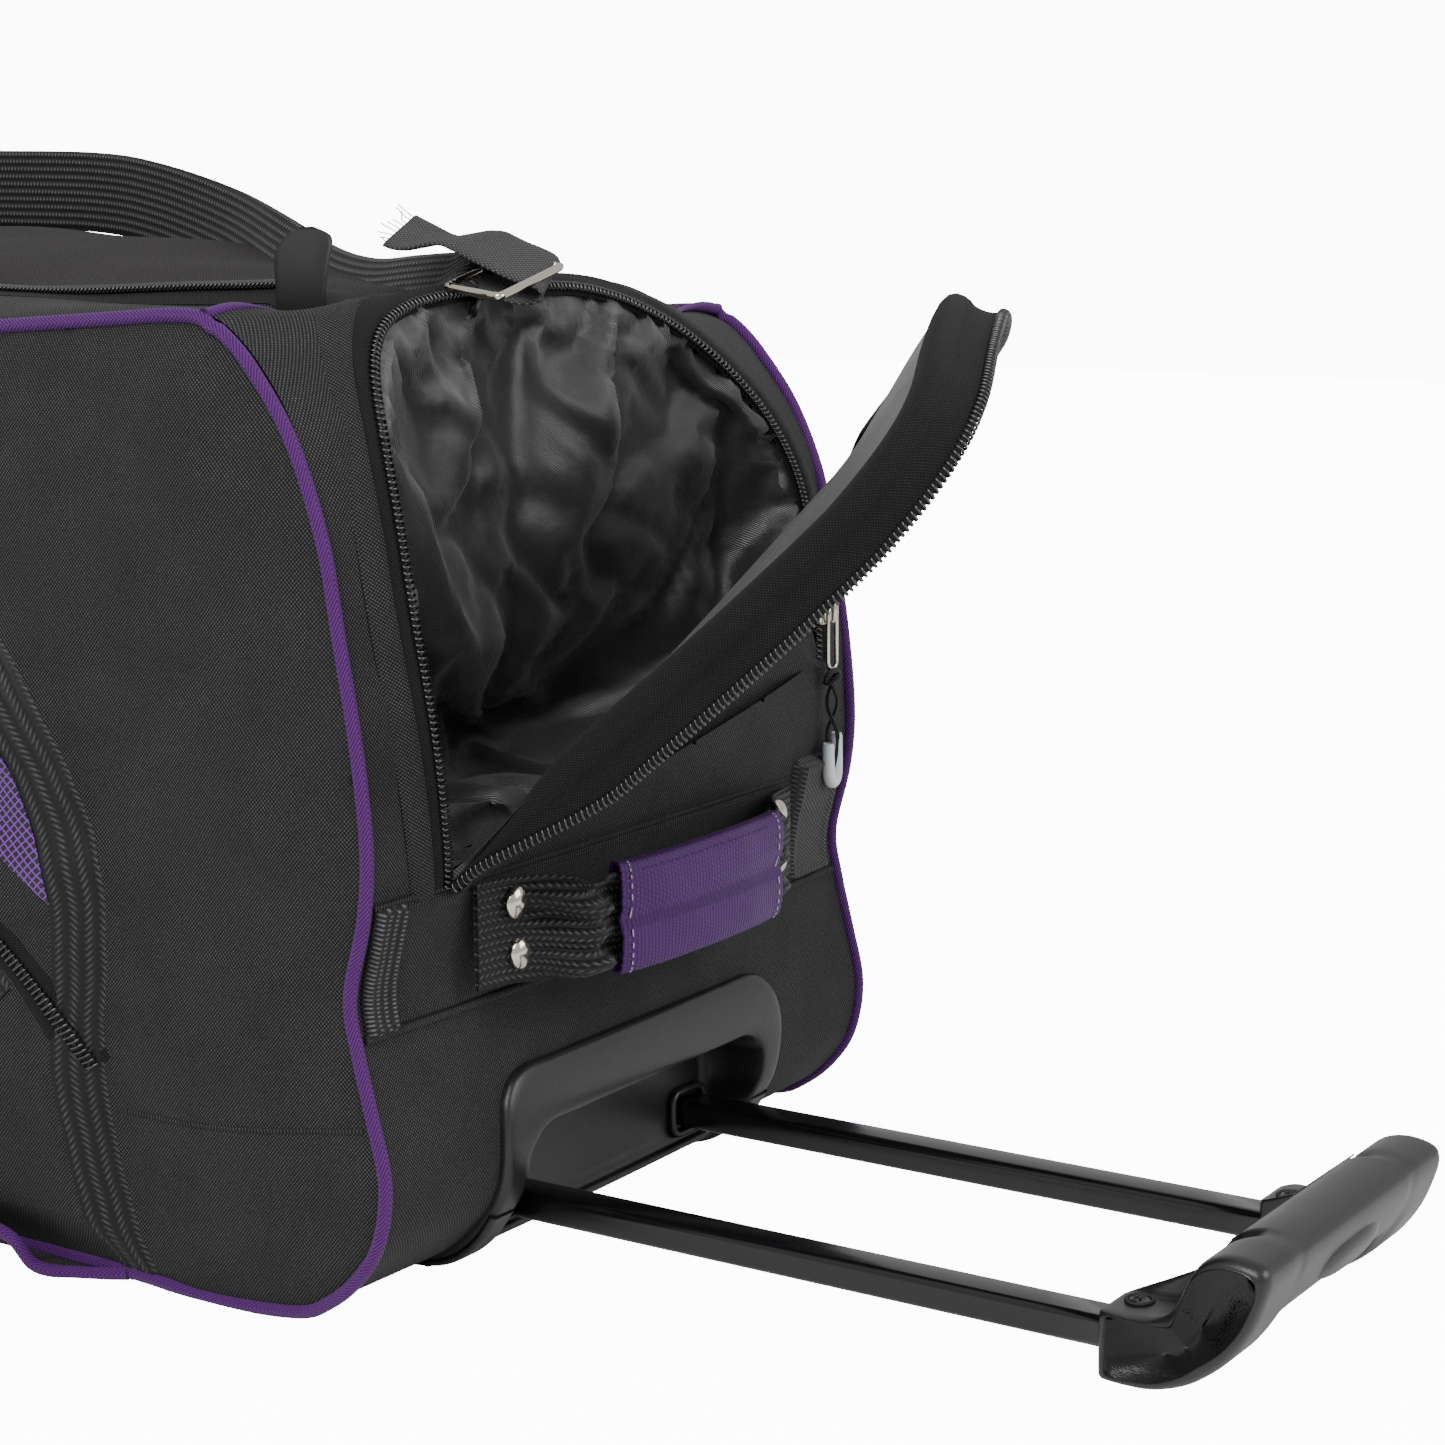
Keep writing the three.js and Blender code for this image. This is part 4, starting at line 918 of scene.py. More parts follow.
# end-top seam piping
yy = np.linspace(-154, 154, 120)
for nm, flipx in (("end_top_piping", False), ("wheel_top_piping", True)):
    path = np.stack([np.full(120, -79.0), yy, 345 + 12 * swell(yy) + 0.8], 1)
    if flipx:
        path = mirror(path)
    tube(nm, path, 2.4, PURPLE, k=12)

# wheel end
wy = np.linspace(-152, 152, 60)
ws = np.linspace(0, 0.74, 60)
WY, WS = grid(wy, ws)
q = end_xz(WY, WS)
p = np.stack([2 * MID - q[..., 0], WY, q[..., 1]], -1)
p[..., 0] += 4 * swell(WY)
sheet_of("wheel_end_skin", p, BLACK, uv=np.stack([WY, q[..., 1]], -1) / 1000, flip=True, replaces=["wheel_end_panel"])
X, Y = grid(np.linspace(-741, -52, 60), np.linspace(-153, 153, 40))
Z = 5.2 + wobble(np.stack([X, Y, X * 0], -1), 60) * 0.5
sheet_of("bottom_skin", np.stack([X, Y, Z], -1), BLACK, flip=True, replaces=["bottom_panel"])

# ---------------------------------------------------------------- pouch lining
cell = 3.6
pts, faces = cut_grid(np.arange(-132, 138, cell), np.arange(146, 356, cell), [ring], cell, keep_inside=True)
used = np.unique(faces)
index = np.zeros(len(pts), int)
index[used] = np.arange(len(used))
pts, faces = pts[used], index[faces]
d = -signed(pts, ring)[0]
rim_pts, _ = end_point(pts[:, 0], np.minimum(pts[:, 1], seam_z(pts[:, 0]) - 0.5), -1.5)
up = (pts[:, 1] - 151) / 196
hollow = np.exp(-(((pts[:, 0] + 8) / 62) ** 2) - ((up - 0.30) / 0.21) ** 2)
floor_x = -44 - 34 * hollow + 6 * smooth((up - 0.5) / 0.3) - 10 * smooth((up - 0.84) / 0.16)
k = smooth(d / 30)
q = np.stack([pts[:, 0] * 0, pts[:, 0], pts[:, 1]], 1)
x = rim_pts[:, 0] * (1 - k) + floor_x * k + k * (wobble(q, 21, 2.0) * 5 + wobble(q, 9, 9.0) * 2)
lining = piece("lining", np.stack([x, pts[:, 0], pts[:, 1]], 1), faces[:, ::-1], SATIN, pts / 1000, body=None)
pin = lining.vertex_groups.new(name="pin")
pin.add([int(i) for i in np.nonzero(d < 1.0)[0]], 1.0, "REPLACE")
cloth = lining.modifiers.new("cloth", "CLOTH")
cs = cloth.settings
cs.quality, cs.mass, cs.air_damping = 6, 0.12, 6.0
cs.tension_stiffness = cs.compression_stiffness = 12
cs.shear_stiffness, cs.bending_stiffness = 4, 0.06
cs.vertex_group_mass = "pin"
cs.shrink_min = -0.17
cs.effector_weights.gravity = 0.25
cloth.point_cache.frame_start, cloth.point_cache.frame_end = 1, 30
for frame_number in range(1, 31):
    bpy.context.scene.frame_set(frame_number)
done = bpy.data.meshes.new_from_object(lining.evaluated_get(bpy.context.evaluated_depsgraph_get()))
lining.modifiers.clear()
lining.vertex_groups.clear()
lining.data = done
bpy.context.scene.frame_set(1)
# the lining stays behind the lower part of the flap, where the flap lies flat
co = np.zeros(len(lining.data.vertices) * 3)
lining.data.vertices.foreach_get("co", co)
co = co.reshape(-1, 3)
yz = co[:, 1:] * 1000
near_fold = smooth((151 + (yz[:, 0] + 114) * 0.189 + 30 - yz[:, 1]) / 20)
behind = (end_point(yz[:, 0], np.minimum(yz[:, 1], 300), 0.0)[0][:, 0] - np.clip(-signed(yz, ring)[0], 0, 10)
    - 9 * near_fold)
behind = row(np.stack([behind, yz[:, 0], yz[:, 1]], 1))[:, 0]
co[:, 0] = np.where(yz[:, 1] < 285, np.minimum(co[:, 0], behind), co[:, 0])
lining.data.vertices.foreach_set("co", co.ravel())
lining.data.update()
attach(lining, "root")
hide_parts("end_pocket_lining")

# ---------------------------------------------------------------- straps and small shapes
def strap(name, path, side, width, thick, mat, k=9, wave=None, **kw):
    """Flat webbing along a path; side (one vector or one per point) lies across it."""
    path = np.asarray(path, float)
    side = unit(np.broadcast_to(np.asarray(side, float), path.shape))
    t = unit(np.gradient(path, axis=0))
    side = unit(side - t * np.sum(side * t, 1, keepdims=True))
    n = np.cross(t, side)
    w = np.linspace(-0.5, 0.5, k)
    lift = np.zeros((len(path), k)) if wave is None else wave
    bow = np.full(k, 0.5)
    bow[0] = bow[-1] = 0.25
    wide = np.broadcast_to(np.asarray(width, float), (len(path),))[:, None] * w[None]
    top = path[:, None] + side[:, None] * wide[..., None] + n[:, None] * (lift + thick * bow)[..., None]
    low = path[:, None] + side[:, None] * wide[..., None] + n[:, None] * (lift - thick * bow)[..., None]
    p = np.concatenate([top, low[:, ::-1]], 1)
    nu, nv = p.shape[:2]
    along = lengths(path)[:, None] / 1000 + np.zeros(nv)
    across = np.concatenate([wide, wide[:, ::-1]], 1) / 1000 + 1.0
    return piece(name, p, capped(nu, nv, quads(nu, nv, False, True)), mat, np.stack([along, across], -1), **kw)


def rounded_rect(w, h, r, per=6):
    out = []
    for cx, cy, a0 in ((w / 2 - r, h / 2 - r, 0), (-w / 2 + r, h / 2 - r, 90), (-w / 2 + r, -h / 2 + r, 180),
        (w / 2 - r, -h / 2 + r, 270)):
        a = np.radians(a0 + np.linspace(0, 90, per))
        out.append(np.stack([cx + r * np.cos(a), cy + r * np.sin(a)], 1))
    return np.vstack(out)


# ---------------------------------------------------------------- the handle's housing, tubes and grip
outer_u = curve([(-90, 4), (-90, 14), (-90, 40), (-90, 60), (-86, 71), (-75, 77.5), (-50, 78), (50, 78),
    (75, 77.5), (86, 71), (90, 60), (90, 40), (90, 14), (90, 4)], 220)
inner_u = curve([(-77, 4), (-77, 12), (-77, 30), (-77, 42), (-74, 50), (-65, 55.5), (-45, 56), (45, 56),
    (65, 55.5), (74, 50), (77, 42), (77, 30), (77, 12), (77, 4)], 220)
cols = []
for f, lift in ((0, -1.0), (0, 1.4), (0.03, 2.9), (0.10, 3.7), (0.25, 4.0), (0.5, 4.1), (0.75, 4.1),
    (0.90, 4.0), (0.975, 3.6), (1.0, 2.8)):
    q = outer_u * (1 - f) + inner_u * f
    cols.append(end_point(q[:, 0], q[:, 1], lift)[0])
lip_x = cols[-1]
for depth_share, draft in ((0.12, 0.3), (0.5, 1.0), (0.85, 2.2), (0.97, 4.0), (1.0, 7.0)):
    q = inner_u.copy()
    q[:, 0] -= np.sign(q[:, 0]) * np.minimum(draft, np.abs(q[:, 0]))
    q[:, 1] -= draft * smooth((q[:, 1] - 20) / 30)
    x = lip_x[:, 0] * (1 - depth_share) + -36.0 * depth_share
    cols.append(np.stack([np.minimum(x, lip_x[:, 0]), q[:, 0], np.maximum(q[:, 1], 10.5 - 6 * (1 - depth_share))], 1))
sheet_of("housing_face", np.stack(cols, 1), PLASTIC, replaces=["handle_bezel"])
X, Z = grid(np.linspace(-72, 72, 40), np.linspace(9.5, 51, 24))
bx = -36.0 + 1.4 * smooth((16 - Z) / 5)
sheet_of("housing_back", np.stack([bx, X, Z], -1), PLASTIC)
back_lip = curve([(-33.5, -74, 10), (-33.5, 0, 9.4), (-33.5, 74, 10)], 30)
tube("housing_back_edge", back_lip, 1.6, PLASTIC, k=10)
for sgn, nm in ((-1, "near"), (1, "far")):
    foot = curve([(-17, sgn * 84, 26), (-25, sgn * 84, 15), (-36, sgn * 84, 6.5), (-50, sgn * 84, 2.6),
        (-70, sgn * 84, 1.8), (-98, sgn * 84, 1.8)], 50)
    strap(f"housing_foot_{nm}", foot, (0, 1, 0), 13, 3.4, PLASTIC)
    ring_path = [(-34.2, sgn * 60 + a, 22.8 + b) for a, b in rounded_rect(21, 17, 4, 5)]
    tube(f"tube_collar_{nm}", np.array(ring_path), 1.5, PLASTIC, k=8, closed=True)
    sec = rounded_rect(15, 11, 2.6, 5)
    tube(f"inner_tube_{nm}_skin", curve([(-255, sgn * 60, 22.8), (0, sgn * 60, 22.8), (232, sgn * 60, 22.8)],
        12), 1, TUBE, section=sec, up=(0, 0, 1), body="handle", replaces=[f"inner_tube_{nm}"])
    sec = rounded_rect(18.4, 14.4, 3.4, 5)
    tube(f"outer_tube_{nm}_skin", curve([(-690, sgn * 60, 22.8), (-350, sgn * 60, 22.8),
        (-38.5, sgn * 60, 22.8)], 12), 1, TUBE, section=sec, up=(0, 0, 1), replaces=[f"outer_tube_{nm}"])

END_SECTION = [(213.5, 12), (215, 10), (224, 9.3), (234, 10), (246, 14.5), (258, 24), (266, 35), (270.5, 46),
    (272, 53), (270, 57.5), (262, 59.5), (254, 58.5), (248, 54.5), (243.5, 46), (239, 38), (233, 34.4),
    (224, 33.6), (215, 33.4), (213.5, 31.5)]
BAR_SECTION = [(243, 36), (242.5, 46), (246, 54), (253, 58.5), (262, 59.5), (270, 57), (272, 52), (269.5, 43),
    (264, 34), (256, 29.5), (248, 30.5)]


def radii(section, centre, n=144):
    """A closed section as distances from a centre in n directions."""
    p = curve(section, 500, closed=True) - centre
    a = np.arctan2(p[:, 1], p[:, 0])
    order = np.argsort(a)
    a, r = a[order], np.linalg.norm(p, axis=1)[order]
    want = np.linspace(-math.pi, math.pi, n, endpoint=False)
    return want, np.interp(want, a, r, period=2 * math.pi)


c_end, c_bar = np.array([243.0, 30.0]), np.array([257.0, 44.0])
angles, r_end = radii(END_SECTION, c_end)
_, r_bar = radii(BAR_SECTION, c_bar)
gy = np.concatenate([-75.6 + 5.6 * (1 - np.cos(np.linspace(0, math.pi / 2, 8))), np.linspace(-69, 69, 110),
    75.6 - 5.6 * (1 - np.cos(np.linspace(math.pi / 2, 0, 8)))])
rows = []
for y in gy:
    k = float(smooth((abs(y) - 42) / 12))
    c = c_end * k + c_bar * (1 - k)
    rr = r_end * k + r_bar * (1 - k)
    e = max(0.0, (abs(y) - 70) / 5.6)
    rr = rr - 4.2 * (1 - math.sqrt(max(0.0, 1 - e * e)))
    rows.append(np.stack([c[0] + rr * np.cos(angles), np.full(len(angles), y), c[1] + rr * np.sin(angles)], 1))
g = np.array(rows)
nu, nv = g.shape[:2]
uv = np.stack([np.broadcast_to(gy[:, None], (nu, nv)), np.broadcast_to(angles[None] * 20, (nu, nv))], -1) / 1000
piece("grip_skin", g, capped(nu, nv, quads(nu, nv, False, True)), PLASTIC, uv, body="handle",
    replaces=["grip_upper", "grip_lower"])
tube("grip_parting_line", curve([(249.2, -50, 56.5), (248.6, 0, 56.4), (249.2, 50, 56.5)], 20), 0.35, RUBBER,
    k=6, body="handle")

bn, bt = unit(np.array([0.86, 0, -0.51])), unit(np.array([0.51, 0, 0.86]))


def dome(name, length, width, high, at, mat, body, **kw):
    th, ph = grid(turn(64), np.linspace(0, 1, 14))
    ex = np.sign(np.cos(th)) * np.abs(np.cos(th)) ** 0.75
    ez = np.sign(np.sin(th)) * np.abs(np.sin(th)) ** 0.85
    rad = 1 - 0.999 * ph**1.6
    up = high * (1 - np.abs(rad) ** 4.0)
    q = (np.array(at) + (ex * rad * length / 2)[..., None] * np.array([0, 1.0, 0])
        + (ez * rad * width / 2)[..., None] * bt + up[..., None] * bn)
    return piece(name, q, quads(64, 14, True, False), mat, body=body, **kw)


dome("button_slot", 66, 22, 1.2, (266.2, 0, 42.2), RUBBER, "handle")
dome("button_pad", 60, 17, 6.2, (265.2, 0, 42.6), PLASTIC, "grip_button", replaces=["grip_button"])
for sgn, nm in ((-1, "near"), (1, "far")):
    at = np.array([222.0, sgn * 60, 34.0])
    well = np.array([at + [math.cos(a) * 4.4, math.sin(a) * 4.4, 0.0] for a in turn(28)])
    tube(f"screw_well_{nm}", well, 0.7, RUBBER, k=8, closed=True, body="handle")
    th, ph = grid(turn(36), np.linspace(0, 1, 6))
    rad = 3.6 * (1 - 0.998 * ph)
    q = np.stack([at[0] + rad * np.cos(th), at[1] + rad * np.sin(th), at[2] + 0.1 + 0.9 * np.sqrt(ph)], -1)
    piece(f"screw_head_{nm}", q, quads(36, 6, True, False), DARK_STEEL, body="handle", replaces=[f"grip_screw_{nm}"])
    for turned in (0.6, 0.6 + math.pi / 2):
        d = np.array([math.cos(turned), math.sin(turned), 0]) * 2.2
        strap(f"screw_cross_{nm}_{int(turned)}",
            [at - d + [0, 0, 1.1], at + [0, 0, 1.15], at + d + [0, 0, 1.1]], (-d[1], d[0], 0), 0.9, 0.3, RUBBER,
            k=3, body="handle", slot="steel")

# ---------------------------------------------------------------- band, haul handle and rivets
def skin_patch(name, y0, y1, z0, z1, out, mat, ny=60, nz=14, turn=False, hem=0.8, **kw):
    Y, Z = grid(np.linspace(y0, y1, ny), np.linspace(z0, z1, nz))
    edge = np.minimum(np.minimum(Y - y0, y1 - Y), np.minimum(Z - z0, z1 - Z))
    lift = (out * smooth(edge / 1.5 + 0.15) + hem * np.exp(-(((edge - 2.0) / 1.4) ** 2))
        + wobble(np.stack([Y * 0, Y, Z], -1), 15, 4.0) * 0.35)
    p, _ = end_point(Y, Z, lift)
    uv = np.stack([Z, Y], -1) / 1000 + 1 if turn else np.stack([Y, Z], -1) / 1000 + 1
    return sheet_of(name, p, mat, uv=uv, **kw)


skin_patch("end_band_skin", -148, 148, 106, 150, 1.6, BLACK, 160, 20, replaces=["end_band"], slot="webbing_black")
skin_patch("band_fold_near", -149, -134, 104, 151, 3.4, WEB, 14, 26, turn=True)
skin_patch("band_fold_far", 108, 138, 106, 158, 6.0, GREY_WEB, 20, 26, turn=True, hem=1.2, slot="webbing_black")
seam_y = np.linspace(-150, 150, 160)
for nm, zc, rad in (("lower_seam_welt", 104.5, 1.5), ("band_top_welt", 151.0, 0.9)):
    tube(nm, end_point(seam_y, np.full(160, zc), 0.5)[0], rad, BLACK, k=8)

lineA = curve([(-12.5, -101, 131), (-11, -92, 131), (-7.5, -84, 131), (0, -77, 131), (11, -70, 130),
    (13.5, -63, 130), (8.5, -56, 130), (6, -48, 129.5), (7.5, -40, 129)], 70)
u = np.linspace(0, 1, 70)[:, None]
v = np.linspace(-1, 1, 21)[None]
crumple = (2.6 * np.sin(3.2 * math.pi * v + 5 * u) + 1.6
    * np.sin(6.1 * v + 9 * u)) * smooth((u - 0.22) / 0.2) * (0.4 + 0.6 * smooth((1 - u) / 0.4))
COARSE = ribbed("coarse_webbing", (0.003, 0.003, 0.0032), (0.11, 0.108, 0.105), ribs=14, width=0.038,
    pitch=0.0026, bump=0.0009, herring=True)
strap("haul_strap_near", lineA, (0, 0, 1), 38 - 5 * smooth((np.linspace(0, 1, 70) - 0.4) / 0.3), 2.2, COARSE,
    k=21, wave=crumple, replaces=["haul_strap", "haul_anchor_near", "haul_anchor_far"])
lineB = curve([(9, 40, 129), (7, 50, 129.5), (9, 60, 130), (5, 69, 130), (-3, 77, 131), (-9, 86, 131),
    (-12.5, 101, 131)], 60)
u = np.linspace(0, 1, 60)[:, None]
crumple = 2.2 * np.sin(3.0 * math.pi * v + 4 * u) * smooth((1 - u) / 0.5) * smooth(u / 0.2)
strap("haul_strap_far", lineB, (0, 0, 1), 36, 2.2, COARSE, k=21, wave=crumple)

wrap_line = curve([(7.5, -45, 129), (9.5, -38, 129), (12, -20, 129.2), (13, 2, 129.5), (12.5, 24, 129.5),
    (10.5, 44, 129), (8.5, 55, 129)], 90)
WRAP = ribbed("wrap_cloth", (0.040, 0.003, 0.080), (0.135, 0.010, 0.21), ribs=22, width=0.04, pitch=0.0016,
    rough=0.55, share=0.9, bump=0.0002)
sec = []
for a in turn(56):
    h = 20.5 * math.copysign(abs(math.sin(a)) ** 0.75, math.sin(a))
    w = 4.6 * math.copysign(abs(math.cos(a)) ** 0.5, math.cos(a))
    sec.append((w - 1.6 * math.exp(-((h / 3.0) ** 2)) * (1 if w > 0 else 0), h))
p = sweep(wrap_line, sec, up=(0, 0, 1))
k = np.arange(56)
saw = 1.3 * np.abs(((k * 7.0 / 8) % 2) - 1)
for i, sgn in ((0, -1), (1, -0.5), (89, 1), (88, 0.5)):
    p[i, :, 1] += sgn * saw
p = p + (wobble(p, 14, 2.0) * 0.7)[..., None] * [1, 0, 0.3]
along = lengths(wrap_line)[:, None] / 1000 + np.zeros(56)
around = np.cumsum(np.linalg.norm(np.diff(np.vstack([sec, sec[:1]]), axis=0),
    axis=1))[None] / 1000 + np.zeros((90, 1))
wrap = piece("wrap_skin", p, quads(90, 56, False, True), WRAP, np.stack([around, along], -1), replaces=["haul_wrap"])
thicken(wrap, 0.9)
THREAD = material("white_thread", (0.45, 0.42, 0.46), 0.6)
for col, yy in (("near", 3), ("far", 86)):
    for j in range(2, 27, 2):
        a, b = p[yy, (j + 42) % 56], p[yy, (j + 43) % 56]
        mid = (a + b) / 2
        if mid[0] > wrap_line[yy, 0]:
            tube(f"stitch_{col}_{j}", np.array([a, mid, b]) + [0.35, 0, 0], 0.28, THREAD, k=5)
for j in range(0, 70, 4):
    tube(f"stitch_run_{j}", p[8 + j:11 + j, 8] + [0.3, 0, 0], 0.18, PURPLE, k=5)
for y, z, nm in ((-84, 141, "near_upper"), (-82, 122.5, "near_lower"), (84, 141, "far_upper"),
    (84, 123, "far_lower")):
    cx = -7.2
    th, ph = grid(turn(32), np.linspace(0, 1, 10))
    rad = 6.4 * np.cos(ph * math.pi / 2 * 0.999)
    q = np.stack([cx + 3.2 * np.sin(ph * math.pi / 2), y + rad * np.cos(th), z + rad * np.sin(th)], -1)
    piece(f"rivet_{nm}_head", q, quads(32, 10, True, False), STEEL, replaces=[f"rivet_{nm}"])

# ---------------------------------------------------------------- the end zip's slider, pull, cord and cap
box_piece("end_slider_body", (-16.5, 124.4, 210), (-10.8, 132.6, 222), STEEL, 1.6, body="end_zip_slider",
    replaces=["end_zip_slider"])
bridge = curve([(-11, 128.5, 211), (-7.6, 128.5, 212), (-6.8, 128.5, 216), (-7.6, 128.5, 220), (-11, 128.5, 221)], 20)
strap("end_slider_bridge", bridge, (0, 1, 0), 3.2, 1.1, STEEL, k=5, body="end_zip_slider")
loop = [(-8.6, 128.5 + a, 205.0 + b) for a, b in rounded_rect(6.4, 25, 3.1, 7)]
tube("end_pull_ring", np.array(loop), 0.85, STEEL, k=8, closed=True, body="end_zip_pull", replaces=["end_zip_pull"])
tt = np.linspace(0, 1, 44)
R = 2.1
a_side = np.stack([-8.6 + R * np.sin(2 * math.pi * 0.9 * tt), 128.5 - R * np.cos(2 * math.pi * 0.9 * tt),
    188.5 - 25.5 * tt], 1)
b_side = np.stack([-8.6 - R * np.sin(2 * math.pi * 0.9 * tt), 128.5 + R * np.cos(2 * math.pi * 0.9 * tt),
    188.5 - 25.5 * tt], 1)
bottom = (a_side[-1] + b_side[-1]) / 2 + [0, 0, -12]
turn_in = [a_side[-1] * 0.75 + bottom * 0.25 + [0, 0, -3.5], bottom, b_side[-1] * 0.75 + bottom * 0.25 + [0, 0, -3.5]]
cord_path = curve(np.vstack([[[-8.6, 126.6, 192.5]], a_side, turn_in, b_side[::-1], [[-8.6, 130.4, 192.5]]]), 150)
cord = tube("pull_cord_skin", cord_path, 0.85, CORD, k=10, body="end_zip_pull", replaces=["pull_cord"])
a = turn(30)
knots = [np.stack([-8.6 + 1.0 * np.sin(a), 128.5 + 4.3 * np.cos(a), 189.5 + 2.3 * np.sin(a)], 1),
         np.stack([-8.6 + 2.6 * np.cos(a), 128.5 + 2.6 * np.sin(a), 188.0 + 1.2 * np.sin(a + 1)], 1)]
knot_obs = [tube(f"pull_knot_{i}", kp, 1.15, CORD, k=8, closed=True, body="end_zip_pull") for i,
    kp in enumerate(knots)]
cap_path = curve([(-8.6, 125.4, 162.5), (-8.6, 125.5, 155), (-8.6, 126.2, 149), (-8.6, 128.5, 146.3),
    (-8.6, 130.8, 149), (-8.6, 131.5, 155), (-8.6, 131.6, 166)], 60)
cap_scale = np.interp(np.linspace(0, 1, 60), [0, 0.03, 0.2, 0.5, 0.8, 0.97, 1],
    [0.8, 0.95, 1.0, 1.12, 1.0, 0.95, 0.8])
cap = tube("pull_cap_skin", cap_path, 2.5, WHITE, k=18, scale=cap_scale, body="end_zip_pull", replaces=["pull_cap"])
list(row(cord_path[0]))
[list(row(q)) for q in cord_path[::2]] + [list(row(cord_path[-1]))]

# ---------------------------------------------------------------- tag, ring, tab and straps on top
v = np.linspace(0, 1, 26)
wide = (np.interp(v, [0, 0.5, 0.8, 1], [19, 21, 24, 24])
    * np.sqrt(np.clip(1 - (np.clip(v - 0.76, 0, 1) / 0.245) ** 2, 0.0005, 1)))
tag_path = np.stack([-84 + 1.5 * np.sin(3 * v), -99 - 2.5 * np.sin(math.pi * v) + 4 * v**3, 343 + 41 * v], 1)
strap("tag_skin", tag_path, (1, 0.12, 0), wide, 0.5, TAG, k=13, replaces=["zip_end_tab"])
for flipx, end in ((False, "handle_end"), (True, "wheel_end")):
    def mx(p):
        return mirror(p) if flipx else np.array(p, float)
    corners = np.array([(-53, -57, 351.5), (-27, -62, 348.5), (-37, -12, 357), (-63, -8, 359.5)], float)
    loop = []
    for i, c in enumerate(corners):
        back_to, on_to = unit(corners[i - 1] - c), unit(corners[(i + 1) % 4] - c)
        loop += [c + back_to * 4, c + back_to * 1.2 + on_to * 1.2, c + on_to * 4]
    tube(f"ring_{end}_skin", mx(curve(loop, 90, closed=True)), 1.6, STEEL, k=12, closed=True,
        body=f"ring_{end}", replaces=[f"ring_{end}"])
    across = np.array([0.40, -0.86, -0.32]) * ([-1, 1, 1] if flipx else [1, 1, 1])
    tab = mx(curve([(-60, -32, 355), (-50, -27, 352.5), (-42, -23.5, 350.5), (-36.5, -21, 351.5),
        (-37, -22, 355.5), (-47, -27, 360.5), (-58, -32, 366.5),
                    (-71, -38.5, 374), (-84, -45, 381.5)], 70))
    strap(f"ring_tab_{end}_skin", tab, across, 35, 1.7, GREY_WEB, k=13, body=f"ring_{end}",
        replaces=[f"ring_tab_{end}"])
    for j in range(9):
        root_of = np.array([-84.0, -45.0, 381.5]) + np.array([0.40, -0.86, -0.32]) * (j - 4) * 3.9
        tip = root_of + [-3 - RNG.random() * 4, RNG.normal() * 2, 1.5 + RNG.random() * 3]
        tube(f"fray_{end}_{j}", mx(curve([root_of + [2, 0, -0.6], root_of + [-1.5, 0.5, 1.0], tip], 8)), 0.22,
            GREY_WEB, k=5, body=f"ring_{end}")
run = [(-57, -33, 354.5), (-62, -34, 357.5), (-72, -36, 358.8), (-95, -32, 357), (-118, -26, 354.5),
    (-140, -18, 354.5), (-165, -6, 357), (-200, 14, 363), (-245, 40, 370),
       (-300, 60, 377), (-350, 72, 381), (MID, 76, 382)]
strap_half = curve(run, 170)
k = smooth((np.linspace(0, 1, 170) - 0.30) / 0.45)[:, None]
side_half = np.array([-0.42, 0.70, 0.58]) * (1 - k) + np.array([-0.1, 0.1, 1.0]) * k
full_path = whole(strap_half)
full_side = np.vstack([side_half, (side_half[::-1] * [-1, 1, 1])[1:]])
w_half = 40 - 6 * k[:, 0]
strap("shoulder_strap_skin", full_path, full_side, np.concatenate([w_half, w_half[::-1][1:]]), 2.2, STRAP, k=15,
    replaces=["shoulder_strap"])
for flipx, end in ((False, "handle_end"), (True, "wheel_end")):
    hook = curve([(-118, -24, 349.5), (-95, -30, 352), (-72, -34, 352.5), (-60, -33, 351), (-56.5, -33, 353.5),
        (-60, -34, 356.5)], 50)
    across = np.array([-0.42, 0.70, 0.58])
    if flipx:
        hook, across = mirror(hook), across * [-1, 1, 1]
    strap(f"strap_hook_{end}", hook, across, 38, 1.8, WEB, k=11)
for sgn, nm in ((-1, "front"), (1, "back")):
    loop = curve([(MID - 92, sgn * 157, 338), (MID - 92, sgn * 168, 332), (MID - 92, sgn * 181, 300),
        (MID - 90, sgn * 187, 240), (MID - 80, sgn * 188.4, 196), (MID - 50, sgn * 188.6, 177),
        (MID, sgn * 188.8, 174),
                  (MID + 50, sgn * 188.6, 177), (MID + 80, sgn * 188.4, 196), (MID + 90, sgn * 187, 240),
                  (MID + 92, sgn * 181, 300), (MID + 92, sgn * 168, 332), (MID + 92, sgn * 157, 338)], 200)
    t = unit(np.gradient(loop, axis=0))
    outw = np.array([0, sgn, 0.0]) + np.array([0, 0, 0.9]) * smooth((loop[:, 2:3] - 300) / 40)
    side = np.cross(t, unit(outw))
    strap(f"carry_handle_{nm}_skin", loop, side, 30, 2.4, WEB, k=11, body=f"carry_handle_{nm}",
        replaces=[f"carry_handle_{nm}"])

# main zip slider and pull
box_piece("main_slider_body", (-695.5, -92.5, 354.0), (-684.5, -83.5, 360.0), STEEL, 1.8,
    body="main_zip_slider", replaces=["main_zip_slider"])
strap("main_slider_bridge", curve([(-694, -88, 356.8), (-692, -88, 359.4), (-688, -88, 359.4),
    (-686, -88, 356.8)], 14), (0, 1, 0), 3.4, 1.0, STEEL, k=5, body="main_zip_slider")
loop = np.array([(-705 + a, -88 + b, 358.4) for a, b in rounded_rect(36, 7.5, 3.4, 7)])
tube("main_pull_ring", loop, 0.9, STEEL, k=8, closed=True, body="main_zip_pull", replaces=["main_zip_pull"])


